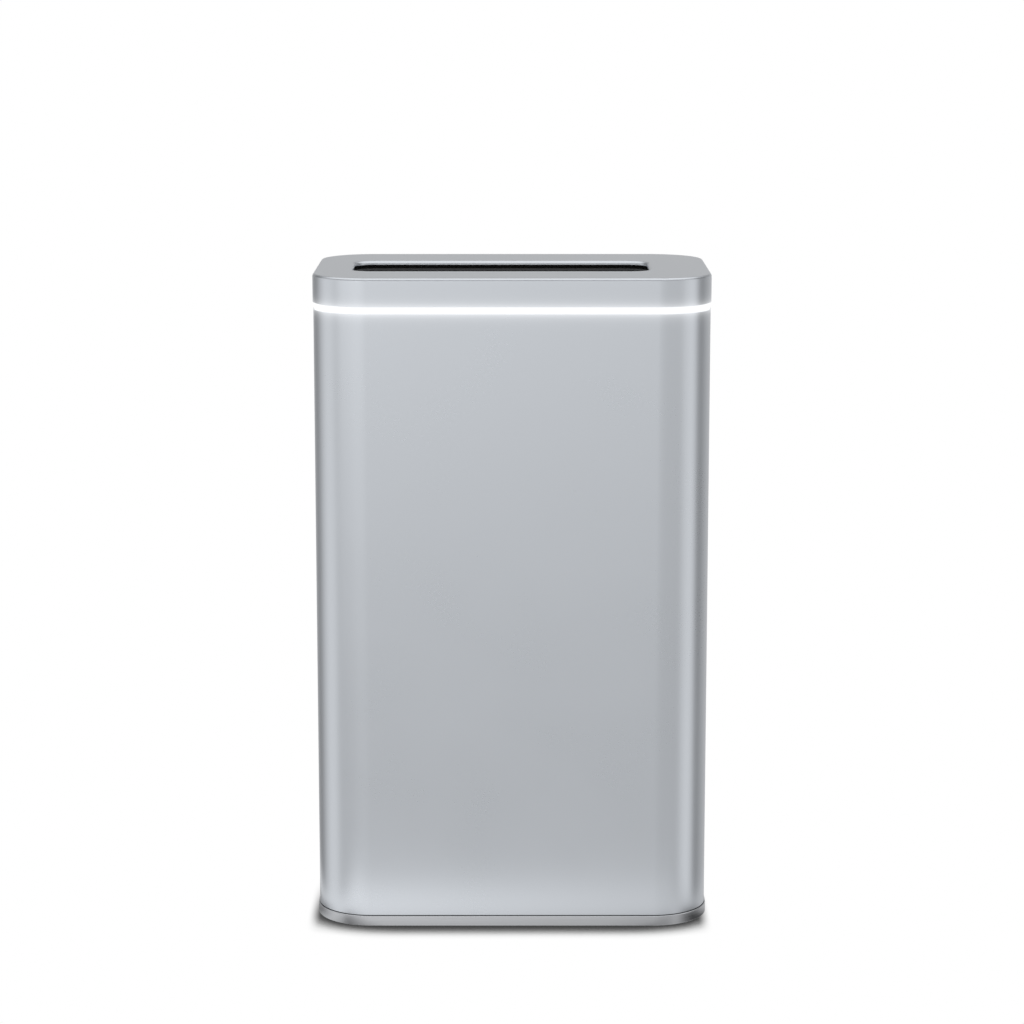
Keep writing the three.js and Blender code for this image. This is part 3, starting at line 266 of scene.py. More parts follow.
# %% The shadow and the patch that is reflected
floor_radius = 0.32
floor_level = 0.8
shadow_reach = 16 * MM
deep_shadow = [(0.0, 0.02), (0.60, 0.07), (0.68, 0.14), (0.74, 0.30), (0.80, 0.58), (0.89, 0.89), (0.94, 1.0)]
thin_shadow = [(0.0, 0.02), (0.40, 0.08), (0.47, 0.4), (0.52, 0.8), (0.56, 1.0)]
shadow_front = (-12 * MM, 27 * MM)
shadow_behind = (32 * MM, 42 * MM)
shadow_width = (46 * MM, 60 * MM)
shadow_side = (60.3 * MM, 64.9 * MM)
shadow_shift = 0.9 * MM
patch_depth = (34 * MM, 56 * MM)
patch_width = (64 * MM, 98 * MM)
patch_level = 0.96
patch_slope = 2.6
patch_shade = 0.3
near_plate = (7 * MM, 15 * MM)
under_plate = (-1.0 * MM, 0.3 * MM)
under_plate_level = 2.4
plate_corner = 17.4 * MM
plate_gleam = [
    (-180, 0.68), (-90, 0.42), (-73, 0.30), (-71, 0.22), (-68, 0.38), (-61, 0.84), (-57, 0.66), (-54, 0.20),
    (-50, 0.46), (-45, 0.82), (-34, 0.85), (34, 0.85), (45, 0.72), (48, 0.54), (51, 0.58), (54, 0.82),
    (58, 0.26), (61, 0.05), (65, 0.16), (68, 0.48), (73, 0.90), (90, 0.92), (180, 0.68),
]

# %% Floor
bpy.ops.mesh.primitive_circle_add(vertices=96, radius=floor_radius, fill_type="NGON")
floor = bpy.context.object
floor.name = "floor"
floor_paint = bpy.data.materials.new("floor_white")
ground = Tree(floor_paint)
right, back, _ = ground.axes(ground.place())
open_sky = ground.value("ShaderNodeAmbientOcclusion", {"Distance": shadow_reach}, output="AO", samples=16)
sideways = ground.math("ABSOLUTE", right)
behind = ground.rise(back, *shadow_behind) * (1 - ground.rise(sideways, *shadow_width))
deep = ground.math("MAXIMUM", ground.rise(back * -1, *shadow_front), behind)
shaded = ground.mix(deep, ground.ramp(open_sky, thin_shadow), ground.ramp(open_sky, deep_shadow))
beside = ground.rise(ground.math("ABSOLUTE", right + shadow_shift), *shadow_side)
to_camera = ground.value("ShaderNodeEmission", {"Color": ground.mix(beside, shaded, grey(1))})
to_rest = ground.value("ShaderNodeBsdfDiffuse", {"Color": grey(floor_level)})

depth = ground.math("ABSOLUTE", back) - cad_high.y
in_patch = (1 - ground.rise(depth, *patch_depth)) * (1 - ground.rise(sideways, *patch_width))
under_foot = 1 - patch_shade * (1 - open_sky)
past_x = ground.math("MAXIMUM", sideways - (cad_high.x - plate_corner), 0)
past_y = ground.math("MAXIMUM", depth + plate_corner, 0)
from_plate = (past_x**2 + past_y**2) ** 0.5 - plate_corner
turn = ground.math("ARCTAN2", right, back * -1) / math.tau + 0.5
gleam = ground.ramp(turn, compass_stops(plate_gleam))
near = 1 - ground.rise(from_plate, *near_plate)
lit = under_foot * (1 - near * (1 - gleam)) * patch_level * (1 - patch_slope * right)
edge_light = 1 - ground.rise(from_plate, *under_plate)
patch = ground.math("MAXIMUM", lit, edge_light * under_plate_level)
patch_glow = ground.value("ShaderNodeEmission", {"Color": patch})
to_gloss = ground.either(in_patch, ground.value("ShaderNodeBsdfTransparent"), patch_glow)

from_camera, from_gloss, _ = ground.rays()
floor_look = ground.either(from_camera, ground.either(from_gloss, to_rest, to_gloss), to_camera)
ground.node("ShaderNodeOutputMaterial", {"Surface": floor_look})
floor.data.materials.append(floor_paint)
print("floor radius", floor_radius)

# %% [markdown]
# ## Finishes
# Every finish starts from the Principled shader, which the class below sets up. A number that is the
# same all over is written on the shader's own socket, and what changes over the surface is linked.

# %% A finish
finishes = {}


class Finish(Tree):
    """A material's nodes round its Principled shader."""

    def __init__(self, name):
        finishes[name] = bpy.data.materials.new(name)
        super().__init__(finishes[name], empty=False)
        self.surface = self.nodes.nodes["Principled BSDF"]

    def wear(self, **sockets):
        """Sets or links the shader's sockets, with a _ for each space in their names."""
        for name, value in sockets.items():
            self.feed(self.surface.inputs[name.replace("_", " ")], value)

    def relief(self, height, strength, distance):
        """A fine relief, as a Bump node that feeds the shader's normal."""
        return self.value("ShaderNodeBump", {"Height": height, "Strength": strength, "Distance": distance})


# %% [markdown]
# The covers are blasted with fine glass beads and anodised. Up close that is a very fine, even grain,
# and from a step away a soft, cool sheen. A slow cloudiness in the roughness keeps large faces alive.
# The lid's and the shell's edges next to the light band carry a painted glow: an emission that stands in
# for the band's light falling on them, and fades within a few millimetres.

# %% Satin aluminium
lid_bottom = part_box("top_lid")[0].z
shell_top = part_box("body_shell")[1].z
painted_glow_reach = 1.1 * MM
painted_glow_level = 0.27
satin_light = (0.612, 0.640, 0.678, 1)
satin_dark = (0.588, 0.615, 0.652, 1)
satin_roughness = 0.29
blast_scale = 2400
cloud_scale = 28

satin = Finish("satin_aluminium")
place = satin.place()
blast = satin.noise(place, blast_scale, detail=1)
cloud = satin.noise(place, cloud_scale, detail=3)
up = satin.axes(place)[2]
off_band = satin.math("MAXIMUM", up - lid_bottom, shell_top - up)
satin.wear(
    Metallic=1,
    Base_Color=satin.mix(cloud, satin_dark, satin_light),
    Roughness=satin_roughness + 0.06 * (cloud - 0.5) + 0.05 * (blast - 0.5),
    Normal=satin.relief(blast, 0.12, 0.02 * MM),
    # Painted glow: an emission near the light band that stands in for its light on the covers.
    Emission_Color=satin.math("EXPONENT", off_band * (-1 / painted_glow_reach)) * painted_glow_level,
    Emission_Strength=1,
)

# %% [markdown]
# The base plate and the guards are brushed: fine scratches that run one way. A noise that is stretched
# along the brushing direction draws them in the roughness, the colour and the relief. The other metals
# inside are ground steel for shafts, screws and motors, and turned brass for bushes. Turning and
# grinding leave the same kind of lines, only finer and around the upright axis.

# %% Brushed and ground metals
def lined_metal(name, dark, light, stretch, detail, roughness, lines_in_roughness, relief):
    finish = Finish(name)
    lines = finish.noise(finish.stretched(finish.place(), stretch), 1.0, *detail)
    finish.wear(
        Metallic=1,
        Base_Color=finish.mix(lines, (*dark, 1), (*light, 1)),
        Roughness=roughness + lines_in_roughness * lines,
        Normal=finish.relief(lines, *relief),
    )


brushed_tones = ((0.47, 0.48, 0.50), (0.60, 0.61, 0.63))
brushing = ((4, 0.6), 0.22, 0.16, (0.25, 0.02 * MM))
lined_metal("brushed_aluminium", *brushed_tones, (30, 30, 5200), *brushing)
lined_metal("brushed_guard", *brushed_tones, (5200, 5200, 24), *brushing)

grinding = ((60, 60, 7000), (3,), 0.23, 0.14, (0.2, 0.01 * MM))
lined_metal("steel", (0.42, 0.42, 0.43), (0.56, 0.56, 0.57), *grinding)
lined_metal("brass", (0.55, 0.38, 0.14), (0.70, 0.50, 0.20), *grinding)

# %% [markdown]
# The chamber is lined with bright rolled sheet. It is nearly a mirror, with faint rolling lines and a
# slow waviness that bends the reflections a little.
# The light band is an opal acrylic bar, lit from inside: an emission under a plastic surface, which
# together come out just white, so that the band's edges stay soft.

# %% Mirror sheet and light guide
mirror = Finish("mirror_aluminium")
place = mirror.place()
lines = mirror.noise(mirror.stretched(place, (2600, 2600, 18)), 1.0)
mirror.wear(
    Metallic=1,
    Base_Color=mirror.mix(lines, (0.80, 0.81, 0.82, 1), (0.88, 0.89, 0.90, 1)),
    Roughness=0.07 + 0.08 * lines,
    Normal=mirror.relief(mirror.noise(place, 30, detail=1), 0.3, 0.3 * MM),
)
opal = Finish("light_guide")
haze = opal.noise(opal.place(), 60)
opal.wear(
    Base_Color=opal.mix(haze, (0.22, 0.23, 0.24, 1), (0.26, 0.27, 0.28, 1)),
    Roughness=0.35,
    Emission_Color=opal.mix(haze, (0.78, 0.79, 0.80, 1), (0.80, 0.80, 0.80, 1)),
    Emission_Strength=1,
)

# %% [markdown]
# Moulded plastics share one recipe: a base colour with slight cloudiness, a spark-eroded grain in the
# relief, and a roughness that follows the grain. Only colours, grain size and sheen differ.

# %% Plastics, rubber and foam
def moulded(name, dark, light, roughness, grain_scale, grain_depth):
    finish = Finish(name)
    place = finish.place()
    grain = finish.noise(place, grain_scale, detail=3, roughness=0.6)
    finish.wear(
        Base_Color=finish.mix(finish.noise(place, 60), (*dark, 1), (*light, 1)),
        Roughness=roughness + 0.12 * (grain - 0.5),
        Normal=finish.relief(grain, 0.4, grain_depth * MM),
    )


moulded("throat_plastic", (0.030, 0.031, 0.033), (0.040, 0.041, 0.044), 0.5, 1800, 0.05)
moulded("frame_plastic", (0.010, 0.010, 0.011), (0.016, 0.016, 0.017), 0.55, 1500, 0.05)
moulded("gear_plastic", (0.72, 0.70, 0.64), (0.80, 0.78, 0.73), 0.42, 2200, 0.02)
moulded("foot_rubber", (0.012, 0.012, 0.012), (0.020, 0.020, 0.021), 0.8, 2600, 0.06)
moulded("silicone", (0.022, 0.022, 0.024), (0.030, 0.030, 0.032), 0.62, 900, 0.04)
moulded("button_plastic", (0.016, 0.016, 0.018), (0.020, 0.020, 0.022), 0.24, 2600, 0.01)
moulded("seal_foam", (0.004, 0.004, 0.004), (0.010, 0.010, 0.010), 0.92, 3200, 0.15)

# %% Circuit board and quartz
lacquer = Finish("circuit_board")
place = lacquer.place()
tracks = lacquer.value("ShaderNodeTexBrick", {"Vector": place, "Scale": 260}, output="Fac")
lacquer.wear(
    Base_Color=lacquer.mix(tracks, (0.006, 0.050, 0.026, 1), (0.012, 0.085, 0.045, 1)),
    Roughness=0.3 + 0.1 * lacquer.noise(place, 300),
    Normal=lacquer.relief(tracks, 0.3, 0.03 * MM),
)
quartz = Finish("quartz")
draw_lines = quartz.noise(quartz.stretched(quartz.place(), (700, 700, 20)), 1.0)
quartz.wear(
    Base_Color=(0.93, 0.95, 0.98, 1), Transmission_Weight=1, IOR=1.46, Roughness=0.02 + 0.06 * draw_lines
)
print("finishes", len(finishes))

# %% [markdown]
# ## Tools for modelling
# Each piece starts as a primitive at its size and place. Its upright edges are rounded in edit mode,
# other solids are joined to it or cut from it, and a small bevel breaks its edges. Edges are picked by
# where they lie, as a person would click them.

# %% Selecting
TINY = 0.01 * MM


def select_only(piece):
    bpy.ops.object.select_all(action="DESELECT")
    piece.select_set(True)
    bpy.context.view_layer.objects.active = piece


def edit_all(piece):
    """Goes into edit mode with the whole mesh selected."""
    select_only(piece)
    bpy.ops.object.mode_set(mode="EDIT")
    bpy.ops.mesh.select_all(action="SELECT")


def edit_where(piece, wanted, kind="EDGE"):
    """Goes into edit mode with the edges or faces selected whose corners pass the test."""
    edit_all(piece)
    bpy.ops.mesh.select_mode(type=kind)
    bpy.ops.mesh.select_all(action="DESELECT")
    mesh = bmesh.from_edit_mesh(piece.data)
    for part in mesh.edges if kind == "EDGE" else mesh.faces:
        if wanted(*(corner.co for corner in part.verts)):
            part.select_set(True)
    bmesh.update_edit_mesh(piece.data)


def leave_edit():
    bpy.ops.object.mode_set(mode="OBJECT")


def bevel_where(piece, wanted, width, steps):
    """Rounds the edges that pass the test."""
    edit_where(piece, wanted)
    bpy.ops.mesh.bevel(offset=width, segments=steps, affect="EDGES")
    leave_edit()


# %% Blocks and rods
def place_in_mesh(piece, name):
    piece.name = name
    select_only(piece)
    bpy.ops.object.transform_apply(location=True, rotation=True, scale=True)
    return piece


def add_block(name, low, high):
    """A block between two corners."""
    low, high = Vector(low), Vector(high)
    bpy.ops.mesh.primitive_cube_add(size=1, location=(low + high) / 2)
    bpy.context.object.scale = high - low
    return place_in_mesh(bpy.context.object, name)


def add_rounded_block(name, low, high, radius, steps=20):
    """A block with round upright edges, as bent sheet or a milled plate has."""
    piece = add_block(name, low, high)
    bevel_where(piece, lambda a, b: abs(a.z - b.z) > TINY, radius, steps)
    return piece


def add_rod(name, radius, start, end, sides=64):
    """A rod between two points on a line along Z or Y."""
    start, end = Vector(start), Vector(end)
    turn = (0, 0, 0) if abs(end.z - start.z) > TINY else (math.pi / 2, 0, 0)
    bpy.ops.mesh.primitive_cylinder_add(
        vertices=sides, radius=radius, depth=(end - start).length, location=(start + end) / 2, rotation=turn
    )
    return place_in_mesh(bpy.context.object, name)


# %% Joining, cutting and softening
def apply_modifier(piece, kind, **settings):
    select_only(piece)
    modifier = piece.modifiers.new(kind.title(), kind)
    for name, value in settings.items():
        setattr(modifier, name, value)
    bpy.ops.object.modifier_apply(modifier=modifier.name)
    return piece


def combine(piece, operation, others):
    for other in others:
        apply_modifier(piece, "BOOLEAN", operation=operation, object=other, solver="EXACT")
        bpy.data.objects.remove(other)
    return piece


def carve(piece, *cutters):
    return combine(piece, "DIFFERENCE", cutters)


def weld_on(piece, *others):
    return combine(piece, "UNION", others)


def shade(piece):
    """Smooth shading whose normals follow the large faces, so that flat faces stay flat."""
    select_only(piece)
    bpy.ops.object.shade_smooth()
    return apply_modifier(piece, "WEIGHTED_NORMAL", keep_sharp=True)


def soften(piece, width, steps=2, angle=35):
    """Merges split flat faces, breaks every sharp edge and shades the rest smoothly."""
    edit_all(piece)
    bpy.ops.mesh.remove_doubles(threshold=TINY / 10)
    bpy.ops.mesh.dissolve_limited(angle_limit=math.radians(1))
    leave_edit()
    sharp = math.radians(angle)
    apply_modifier(piece, "BEVEL", width=width, segments=steps, limit_method="ANGLE", angle_limit=sharp)
    return shade(piece)


# %% [markdown]
# ## Handing a piece over
# The record says which body every CAD node belongs to and which material slot it has. So a piece that
# stands for a node only needs the node's name: it takes over the body and the slot, and hides the node.

# %% Slots and bodies by node
record = frame["record"]
slot_of = {subpart["node"]: subpart["material_slot"] for subpart in record["subparts"]}
body_of = {node: body for body, nodes in record["behaviour"]["bodies"].items() for node in nodes}


def paint(piece, finish):
    piece.data.materials.clear()
    piece.data.materials.append(finishes[finish])


def settle(piece, slot, body="housing", finish=None):
    """Paints a piece with its slot's finish or another one, and lets it ride on a body."""
    paint(piece, finish or slot)
    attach(piece, body)
    print(piece.name, len(piece.data.polygons), "faces on", body)


def stand_for(piece, node, finish=None):
    """The piece is seen in place of a CAD node."""
    settle(piece, slot_of[node], body_of[node], finish)
    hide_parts(node)


def grown(low, high, x, y, z=0.0):
    """A box grown by x, y and z on each side, or shrunk by negative values."""
    more = Vector((x, y, z))
    return low - more, high + more


def middle_of(node):
    """The middle of a node's box in plan."""
    low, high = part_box(node)
    return (low.x + high.x) / 2, (low.y + high.y) / 2


def turned_size(node):
    """An upright turned piece's radius, its length and the middle of its lower end."""
    low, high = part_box(node)
    return (high.x - low.x) / 2, high.z - low.z, Vector((*middle_of(node), low.z))


# %% [markdown]
# ## The body shell
# The shell is one tall bent and welded tube with upright screw channels in its corners. It is a block
# with round upright edges, hollowed by a slightly smaller one. Twenty steps in each corner are enough
# for a clean reflection. The rear wall has two holes, for the inlet and for the button.

# %% Body shell
shell_low, shell_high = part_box("body_shell")
shell_radius = 17 * MM
shell_wall = 1.5 * MM
overrun = 5 * MM
fine_edge = 0.15 * MM
channel_radius = 3.2 * MM
channel_bore = 1.5 * MM

corner_places = ("front_left", "front_right", "rear_left", "rear_right")
channel_places = [middle_of(f"deck_screw_{place}") for place in corner_places]
jack_x, _ = middle_of("power_jack")
button_x, _ = middle_of("rear_button")
button_low, button_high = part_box("rear_button")
port_z = (button_low.z + button_high.z) / 2
port_front = shell_high.y - 3 * shell_wall
jack_hole_radius = 4.1 * MM
button_hole_radius = 4.3 * MM


def upright_rods(radius, low_z, high_z, sides=32):
    """One rod at each of the four screw channels."""
    return [add_rod("channel", radius, (x, y, low_z), (x, y, high_z), sides) for x, y in channel_places]


def port_hole(x, radius):
    return add_rod("port_hole", radius, (x, port_front, port_z), (x, shell_high.y + overrun, port_z))


def add_ring(name, low, high, radius, wall, *holes):
    """An upright tube with round corners, holes and four screw channels."""
    piece = add_rounded_block(name, low, high, radius)
    inner = grown(low, high, -wall, -wall, overrun)
    carve(piece, add_rounded_block("inside", *inner, radius - wall), *holes)
    weld_on(piece, *upright_rods(channel_radius, low.z, high.z))
    return carve(piece, *upright_rods(channel_bore, low.z - overrun, high.z + overrun, sides=24))


holes = port_hole(jack_x, jack_hole_radius), port_hole(button_x, button_hole_radius)
shell = add_ring("shell_cover", shell_low, shell_high, shell_radius, shell_wall, *holes)
stand_for(soften(shell, fine_edge, steps=3), "body_shell")

# %% [markdown]
# ## The lid
# The lid is a shallow cap. Its top edge has a small round that catches the overhead light as one thin
# bright line, and the slot's edge rolls inwards softly, so that the device slides in without a scratch.
# The slot itself is read from the throat frame below it, which is a little larger all round.

# %% The lid's sizes and its slot
lid_low, lid_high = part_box("top_lid")
lid_radius = 17.2 * MM
lid_wall = 1.8 * MM
lid_plate = 1.4 * MM
lid_edge = 0.9 * MM
lid_rim = 9 * MM
slot_lip = 1.2 * MM
slot_radius = 6.5 * MM
throat_low, throat_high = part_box("throat_frame")
throat_border = 5 * MM
slot_low, slot_high = grown(throat_low, throat_high, -throat_border, -throat_border)
print("slot in mm", [round(side / MM, 1) for side in slot_high - slot_low])


def within(point, low, high):
    """Whether a point lies between two corners in plan."""
    return low.x < point.x < high.x and low.y < point.y < high.y


def slot_edges(level):
    """A test for the edges round the slot, at a level or above it."""
    box = grown(slot_low, slot_high, TINY, TINY)
    return lambda a, b: min(a.z, b.z) > level - TINY and within(a, *box) and within(b, *box)


def rim_edges(a, b):
    """Whether an edge lies on the lid's top, near its rim."""
    box = grown(lid_low, lid_high, -lid_rim, -lid_rim)
    return min(a.z, b.z) > lid_high.z - TINY and not within(a, *box) and not within(b, *box)


def slot_cutter(grow, bottom, top):
    low, high = grown(slot_low, slot_high, grow, grow)
    return add_rounded_block("slot", (low.x, low.y, bottom), (high.x, high.y, top), slot_radius + grow)


# %% Lid
tab_spacing = 30 * MM
tab_half = 5.3 * MM
tab_reach = 3 * MM
tab_gap = 0.3 * MM


def tab_pockets():
    """Room in the lid's walls for the deck's four snap tabs."""
    _, deck_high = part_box("shutter_deck")
    reach = deck_high.y + tab_gap
    for side_x in (-1, 1):
        for side_y in (-1, 1):
            near, far = sorted((side_y * reach, side_y * (reach - tab_reach)))
            low = (side_x * tab_spacing - tab_half, near, lid_low.z - overrun)
            yield add_block("pocket", low, (side_x * tab_spacing + tab_half, far, deck_high.z + tab_gap))


lid = add_rounded_block("lid_cover", lid_low, lid_high, lid_radius)
cavity_low = (lid_low.x + lid_wall, lid_low.y + lid_wall, lid_low.z - overrun)
cavity_high = (lid_high.x - lid_wall, lid_high.y - lid_wall, lid_high.z - lid_plate)
carve(lid, add_rounded_block("cavity", cavity_low, cavity_high, lid_radius - lid_wall))
carve(lid, slot_cutter(0, lid_low.z - overrun, lid_high.z + overrun), *tab_pockets())
bevel_where(lid, slot_edges(lid_high.z), slot_lip, steps=8)
bevel_where(lid, rim_edges, lid_edge, steps=6)
stand_for(soften(lid, fine_edge), "top_lid")

# %% [markdown]
# ## Light band and base plate
# The band is a ring of opal acrylic between the lid and the shell, set back by a hair. The base plate is
# a thicker plate that stands a little proud of the shell, with round edges above and below, four
# recesses for the feet and four countersunk holes for the screws. Its rim is a little thicker than its
# middle, above and below, which narrows the seam under the shell.

# %% Light band
band_low, band_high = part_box("light_band")
band_radius = 16.7 * MM
band_reach = 3.2 * MM
hair_edge = 0.1 * MM

band = add_ring("opal_band", band_low, band_high, band_radius, band_reach)
stand_for(soften(band, hair_edge), "light_band")

# %% Base plate
base_low, base_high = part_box("base_plate")
base_edge = 0.25 * MM
rim_width = 1.6 * MM
rim_above = Vector((0, 0, 0.18 * MM))
rim_below = Vector((0, 0, 0.25 * MM))
hole_gap = 0.3 * MM
screw_hole = 1.5 * MM
screw_head_height = 1.4 * MM


def sink_middle(piece, height, way):
    """Leaves a rim round the flat face at a height, by moving its middle up or down."""
    edit_where(piece, lambda *corners: all(abs(corner.z - height) < TINY for corner in corners), "FACE")
    bpy.ops.mesh.inset(thickness=rim_width)
    bpy.ops.transform.translate(value=way)
    leave_edit()


plate = add_rounded_block("foot_plate", base_low - rim_below, base_high + rim_above, plate_corner)
bevel_where(plate, lambda a, b: abs(a.z - b.z) < TINY, base_edge, steps=5)
sink_middle(plate, (base_low - rim_below).z, rim_below)
sink_middle(plate, (base_high + rim_above).z, -rim_above)
below, above = base_low.z - overrun, base_high.z + overrun
head_top = base_low.z + screw_head_height
for place in corner_places:
    radius, height, (x, y, bottom) = turned_size(f"foot_{place}")
    carve(plate, add_rod("recess", radius + hole_gap, (x, y, below), (x, y, bottom + height)))
    radius, _, (x, y, _) = turned_size(f"base_screw_{place}")
    carve(plate, add_rod("head", radius + hole_gap, (x, y, below), (x, y, head_top), sides=48))
    carve(plate, add_rod("hole", screw_hole, (x, y, below), (x, y, above), sides=32))
stand_for(soften(plate, hair_edge), "base_plate")

# %% [markdown]
# ## Feet and screws
# A rubber foot and a screw are turned pieces: their outline is drawn once, beside the axis, and spun
# round it. The outline is drawn as by hand, by extruding one vertex from point to point. A screw's
# thread is a row of small grooves in that outline, and its hexagon socket is cut out afterwards. One of
# each kind is modelled, and the others are copies of it, each with its own mesh.

# %% Turning a piece
def close_mesh():
    """Merges doubles and turns all faces outwards."""
    bpy.ops.mesh.select_all(action="SELECT")
    bpy.ops.mesh.remove_doubles(threshold=TINY / 10)
    bpy.ops.mesh.normals_make_consistent(inside=False)


def add_turned(name, outline, origin, along="Z", steps=48):
    """Spins pairs of radius and height round the axis through the origin."""
    points = [Vector((radius, 0, height)) for radius, height in outline]
    bpy.ops.mesh.primitive_plane_add(size=MM)
    piece = bpy.context.object
    edit_all(piece)
    bpy.ops.mesh.select_mode(type="VERT")
    bpy.ops.mesh.merge(type="CENTER")
    bpy.ops.transform.translate(value=points[0])
    for start, end in zip(points, points[1:]):
        bpy.ops.mesh.extrude_vertices_move(TRANSFORM_OT_translate={"value": end - start})
    bpy.ops.mesh.select_all(action="SELECT")
    bpy.ops.mesh.spin(steps=steps, angle=math.tau, center=(0, 0, 0), axis=(0, 0, 1))
    close_mesh()
    leave_edit()
    piece.location = origin
    piece.rotation_euler.x = -math.pi / 2 if along == "Y" else 0
    return place_in_mesh(piece, name)


# %% Copying a finished piece
def again(piece, name):
    """A copy with its own mesh."""
    copy = bpy.data.objects.new(name, piece.data.copy())
    bpy.context.scene.collection.objects.link(copy)
    return copy


def repeat(piece, nodes):
    """The piece with its node, then a copy at the place of each other node of its kind."""
    yield piece, nodes[0]
    for node in nodes[1:]:
        copy = again(piece, piece.name.replace(nodes[0], node))
        copy.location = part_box(node)[0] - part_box(nodes[0])[0]
        yield place_in_mesh(copy, copy.name), node


# %% Feet
groove_start, groove_end = 2.4 * MM, 3.4 * MM
groove_depth = 0.35 * MM
foot_edge = 0.3 * MM
foot_softness = 0.08 * MM

nodes = [f"foot_{place}" for place in corner_places]
radius, height, origin = turned_size(nodes[0])
outline = [
    (0, 0), (groove_start, 0), (groove_start + foot_edge / 2, groove_depth),
    (groove_end - foot_edge / 2, groove_depth), (groove_end, 0),
    (radius - foot_edge, 0), (radius, foot_edge), (radius, height), (0, height),
]
foot = add_turned(f"rubber_{nodes[0]}", outline, origin)
for foot, node in repeat(soften(foot, foot_softness, angle=25), nodes):
    stand_for(foot, node)

# %% Screws
shank_radius = 1.2 * MM
thread_depth = 0.25 * MM
thread_pitch = 0.8 * MM
head_chamfer = 0.2 * MM
socket_radius = 1.15 * MM
socket_depth = 0.8 * MM


def make_screws(nodes, head_down):
    """Socket-head screws, drawn from the head's outer face along the shank."""
    node = nodes[0]
    head, length, _ = turned_size(node)
    outline = [
        (0, 0), (head - head_chamfer, 0), (head, head_chamfer), (head, screw_head_height),
        (shank_radius, screw_head_height),
    ]
    for turn in range(int((length - screw_head_height) / thread_pitch) - 1):
        start = screw_head_height + (turn + 0.5) * thread_pitch
        outline += [(shank_radius, start), (shank_radius - thread_depth, start + thread_pitch / 2)]
    outline += [(shank_radius, length - thread_pitch), (shank_radius / 2, length), (0, length)]
    low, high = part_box(node)
    outer_face, inward = (low.z, 1) if head_down else (high.z, -1)
    outline = [(radius, inward * height) for radius, height in outline]
    x, y = middle_of(node)
    piece = add_turned(f"steel_{node}", outline, (x, y, outer_face), steps=24)
    bottom, top = sorted((outer_face - inward * overrun, outer_face + inward * socket_depth))
    carve(piece, add_rod("hexagon", socket_radius, (x, y, bottom), (x, y, top), sides=6))
    for screw, node in repeat(shade(piece), nodes):
        stand_for(screw, node)


make_screws([f"base_screw_{place}" for place in corner_places], head_down=True)
make_screws([f"deck_screw_{place}" for place in corner_places], head_down=False)

# %% [markdown]
# ## The slot's mouth
# Under the lid's rolled lip lies a black foam seal, set back a little, and under that a dark moulded
# frame that guides the device. The foam is cut from a sheet, so it has a square section with soft
# edges. The frame is a wall with a flange, which is welded from two rounded blocks before the slot is cut.

# %% Seal
seal_low, seal_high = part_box("slot_seal")
seal_recess = 1 * MM
soft_edge = 0.2 * MM
throat_corner = slot_radius + throat_border

seal = add_rounded_block("foam_seal", seal_low, seal_high, throat_corner)
carve(seal, slot_cutter(seal_recess, seal_low.z - overrun, seal_high.z + overrun))
stand_for(soften(seal, soft_edge, steps=3), "slot_seal")

# %% Throat frame
flange_reach = 3 * MM
flange_thickness = 1 * MM
throat_lead_in = 0.5 * MM

flange_low = (throat_low.x, throat_low.y, throat_high.z - flange_thickness)
throat = add_rounded_block("guide_frame", flange_low, throat_high, throat_corner)
wall_low, wall_high = grown(throat_low, throat_high, -flange_reach, -flange_reach)
wall_high.z -= flange_thickness / 2
weld_on(throat, add_rounded_block("wall", wall_low, wall_high, throat_corner - flange_reach))
carve(throat, slot_cutter(0, throat_low.z - overrun, throat_high.z + overrun))
bevel_where(throat, slot_edges(throat_high.z), throat_lead_in, steps=4)
stand_for(soften(throat, fine_edge), "throat_frame")

# %% [markdown]
# ## Moulded and toothed parts
# The shutters with their racks, the deck, the gears and the other inner parts already have their exact
# shape in CAD, down to the flanks of the teeth. Only their edges are too perfect. So each is copied, its
# small triangles are merged back into whole faces, and every sharp edge gets a small bevel, as a mould
# or a cutter leaves it.

# %% Softened copies
sliding_parts = ("front_shutter", "rear_shutter")
moulded_parts = (
    "shutter_deck", "chamber_floor", "chassis_tray", "lift_carriage", "bearing_bridge",
    "front_lower_lamp_holder", "front_upper_lamp_holder", "rear_lower_lamp_holder", "rear_upper_lamp_holder",
    "button_switch", "switch_plunger",
)
toothed_parts = ("screw_gear", "idler_gear", "lift_pinion", "shutter_pinion")
sheet_parts = ("front_reflector", "rear_reflector", "left_reflector", "right_reflector")
slide_edge = 0.12 * MM
tooth_edge = 0.06 * MM

widths = (slide_edge, soft_edge, tooth_edge, fine_edge)
for nodes, width in zip((sliding_parts, moulded_parts, toothed_parts, sheet_parts), widths):
    for node in nodes:
        piece = again(frame["nodes"][node], f"{node}_finished")
        select_only(piece)
        bpy.ops.mesh.customdata_custom_splitnormals_clear()
        stand_for(soften(piece, width), node)

# %% [markdown]
# ## Guards
# The guards keep the device away from the lamps. They are sheets with punched windows, and a punched
# window has round corners, because a sharp one would tear. One window is modelled, rounded and copied
# into a grid, and the grid is cut out of the sheet at once.

# %% Guards
window_columns = 7
window_rows = 2
window_bar = 2.4 * MM
window_rail = 6 * MM
window_corner = 2.5 * MM


def copies(piece, steps):
    """The piece and its moved copies, joined into one object."""
    made = [again(piece, piece.name) for _ in steps]
    select_only(piece)
    for copy, step in zip(made, steps):
        copy.location = step
        copy.select_set(True)
    bpy.ops.object.join()
    return piece


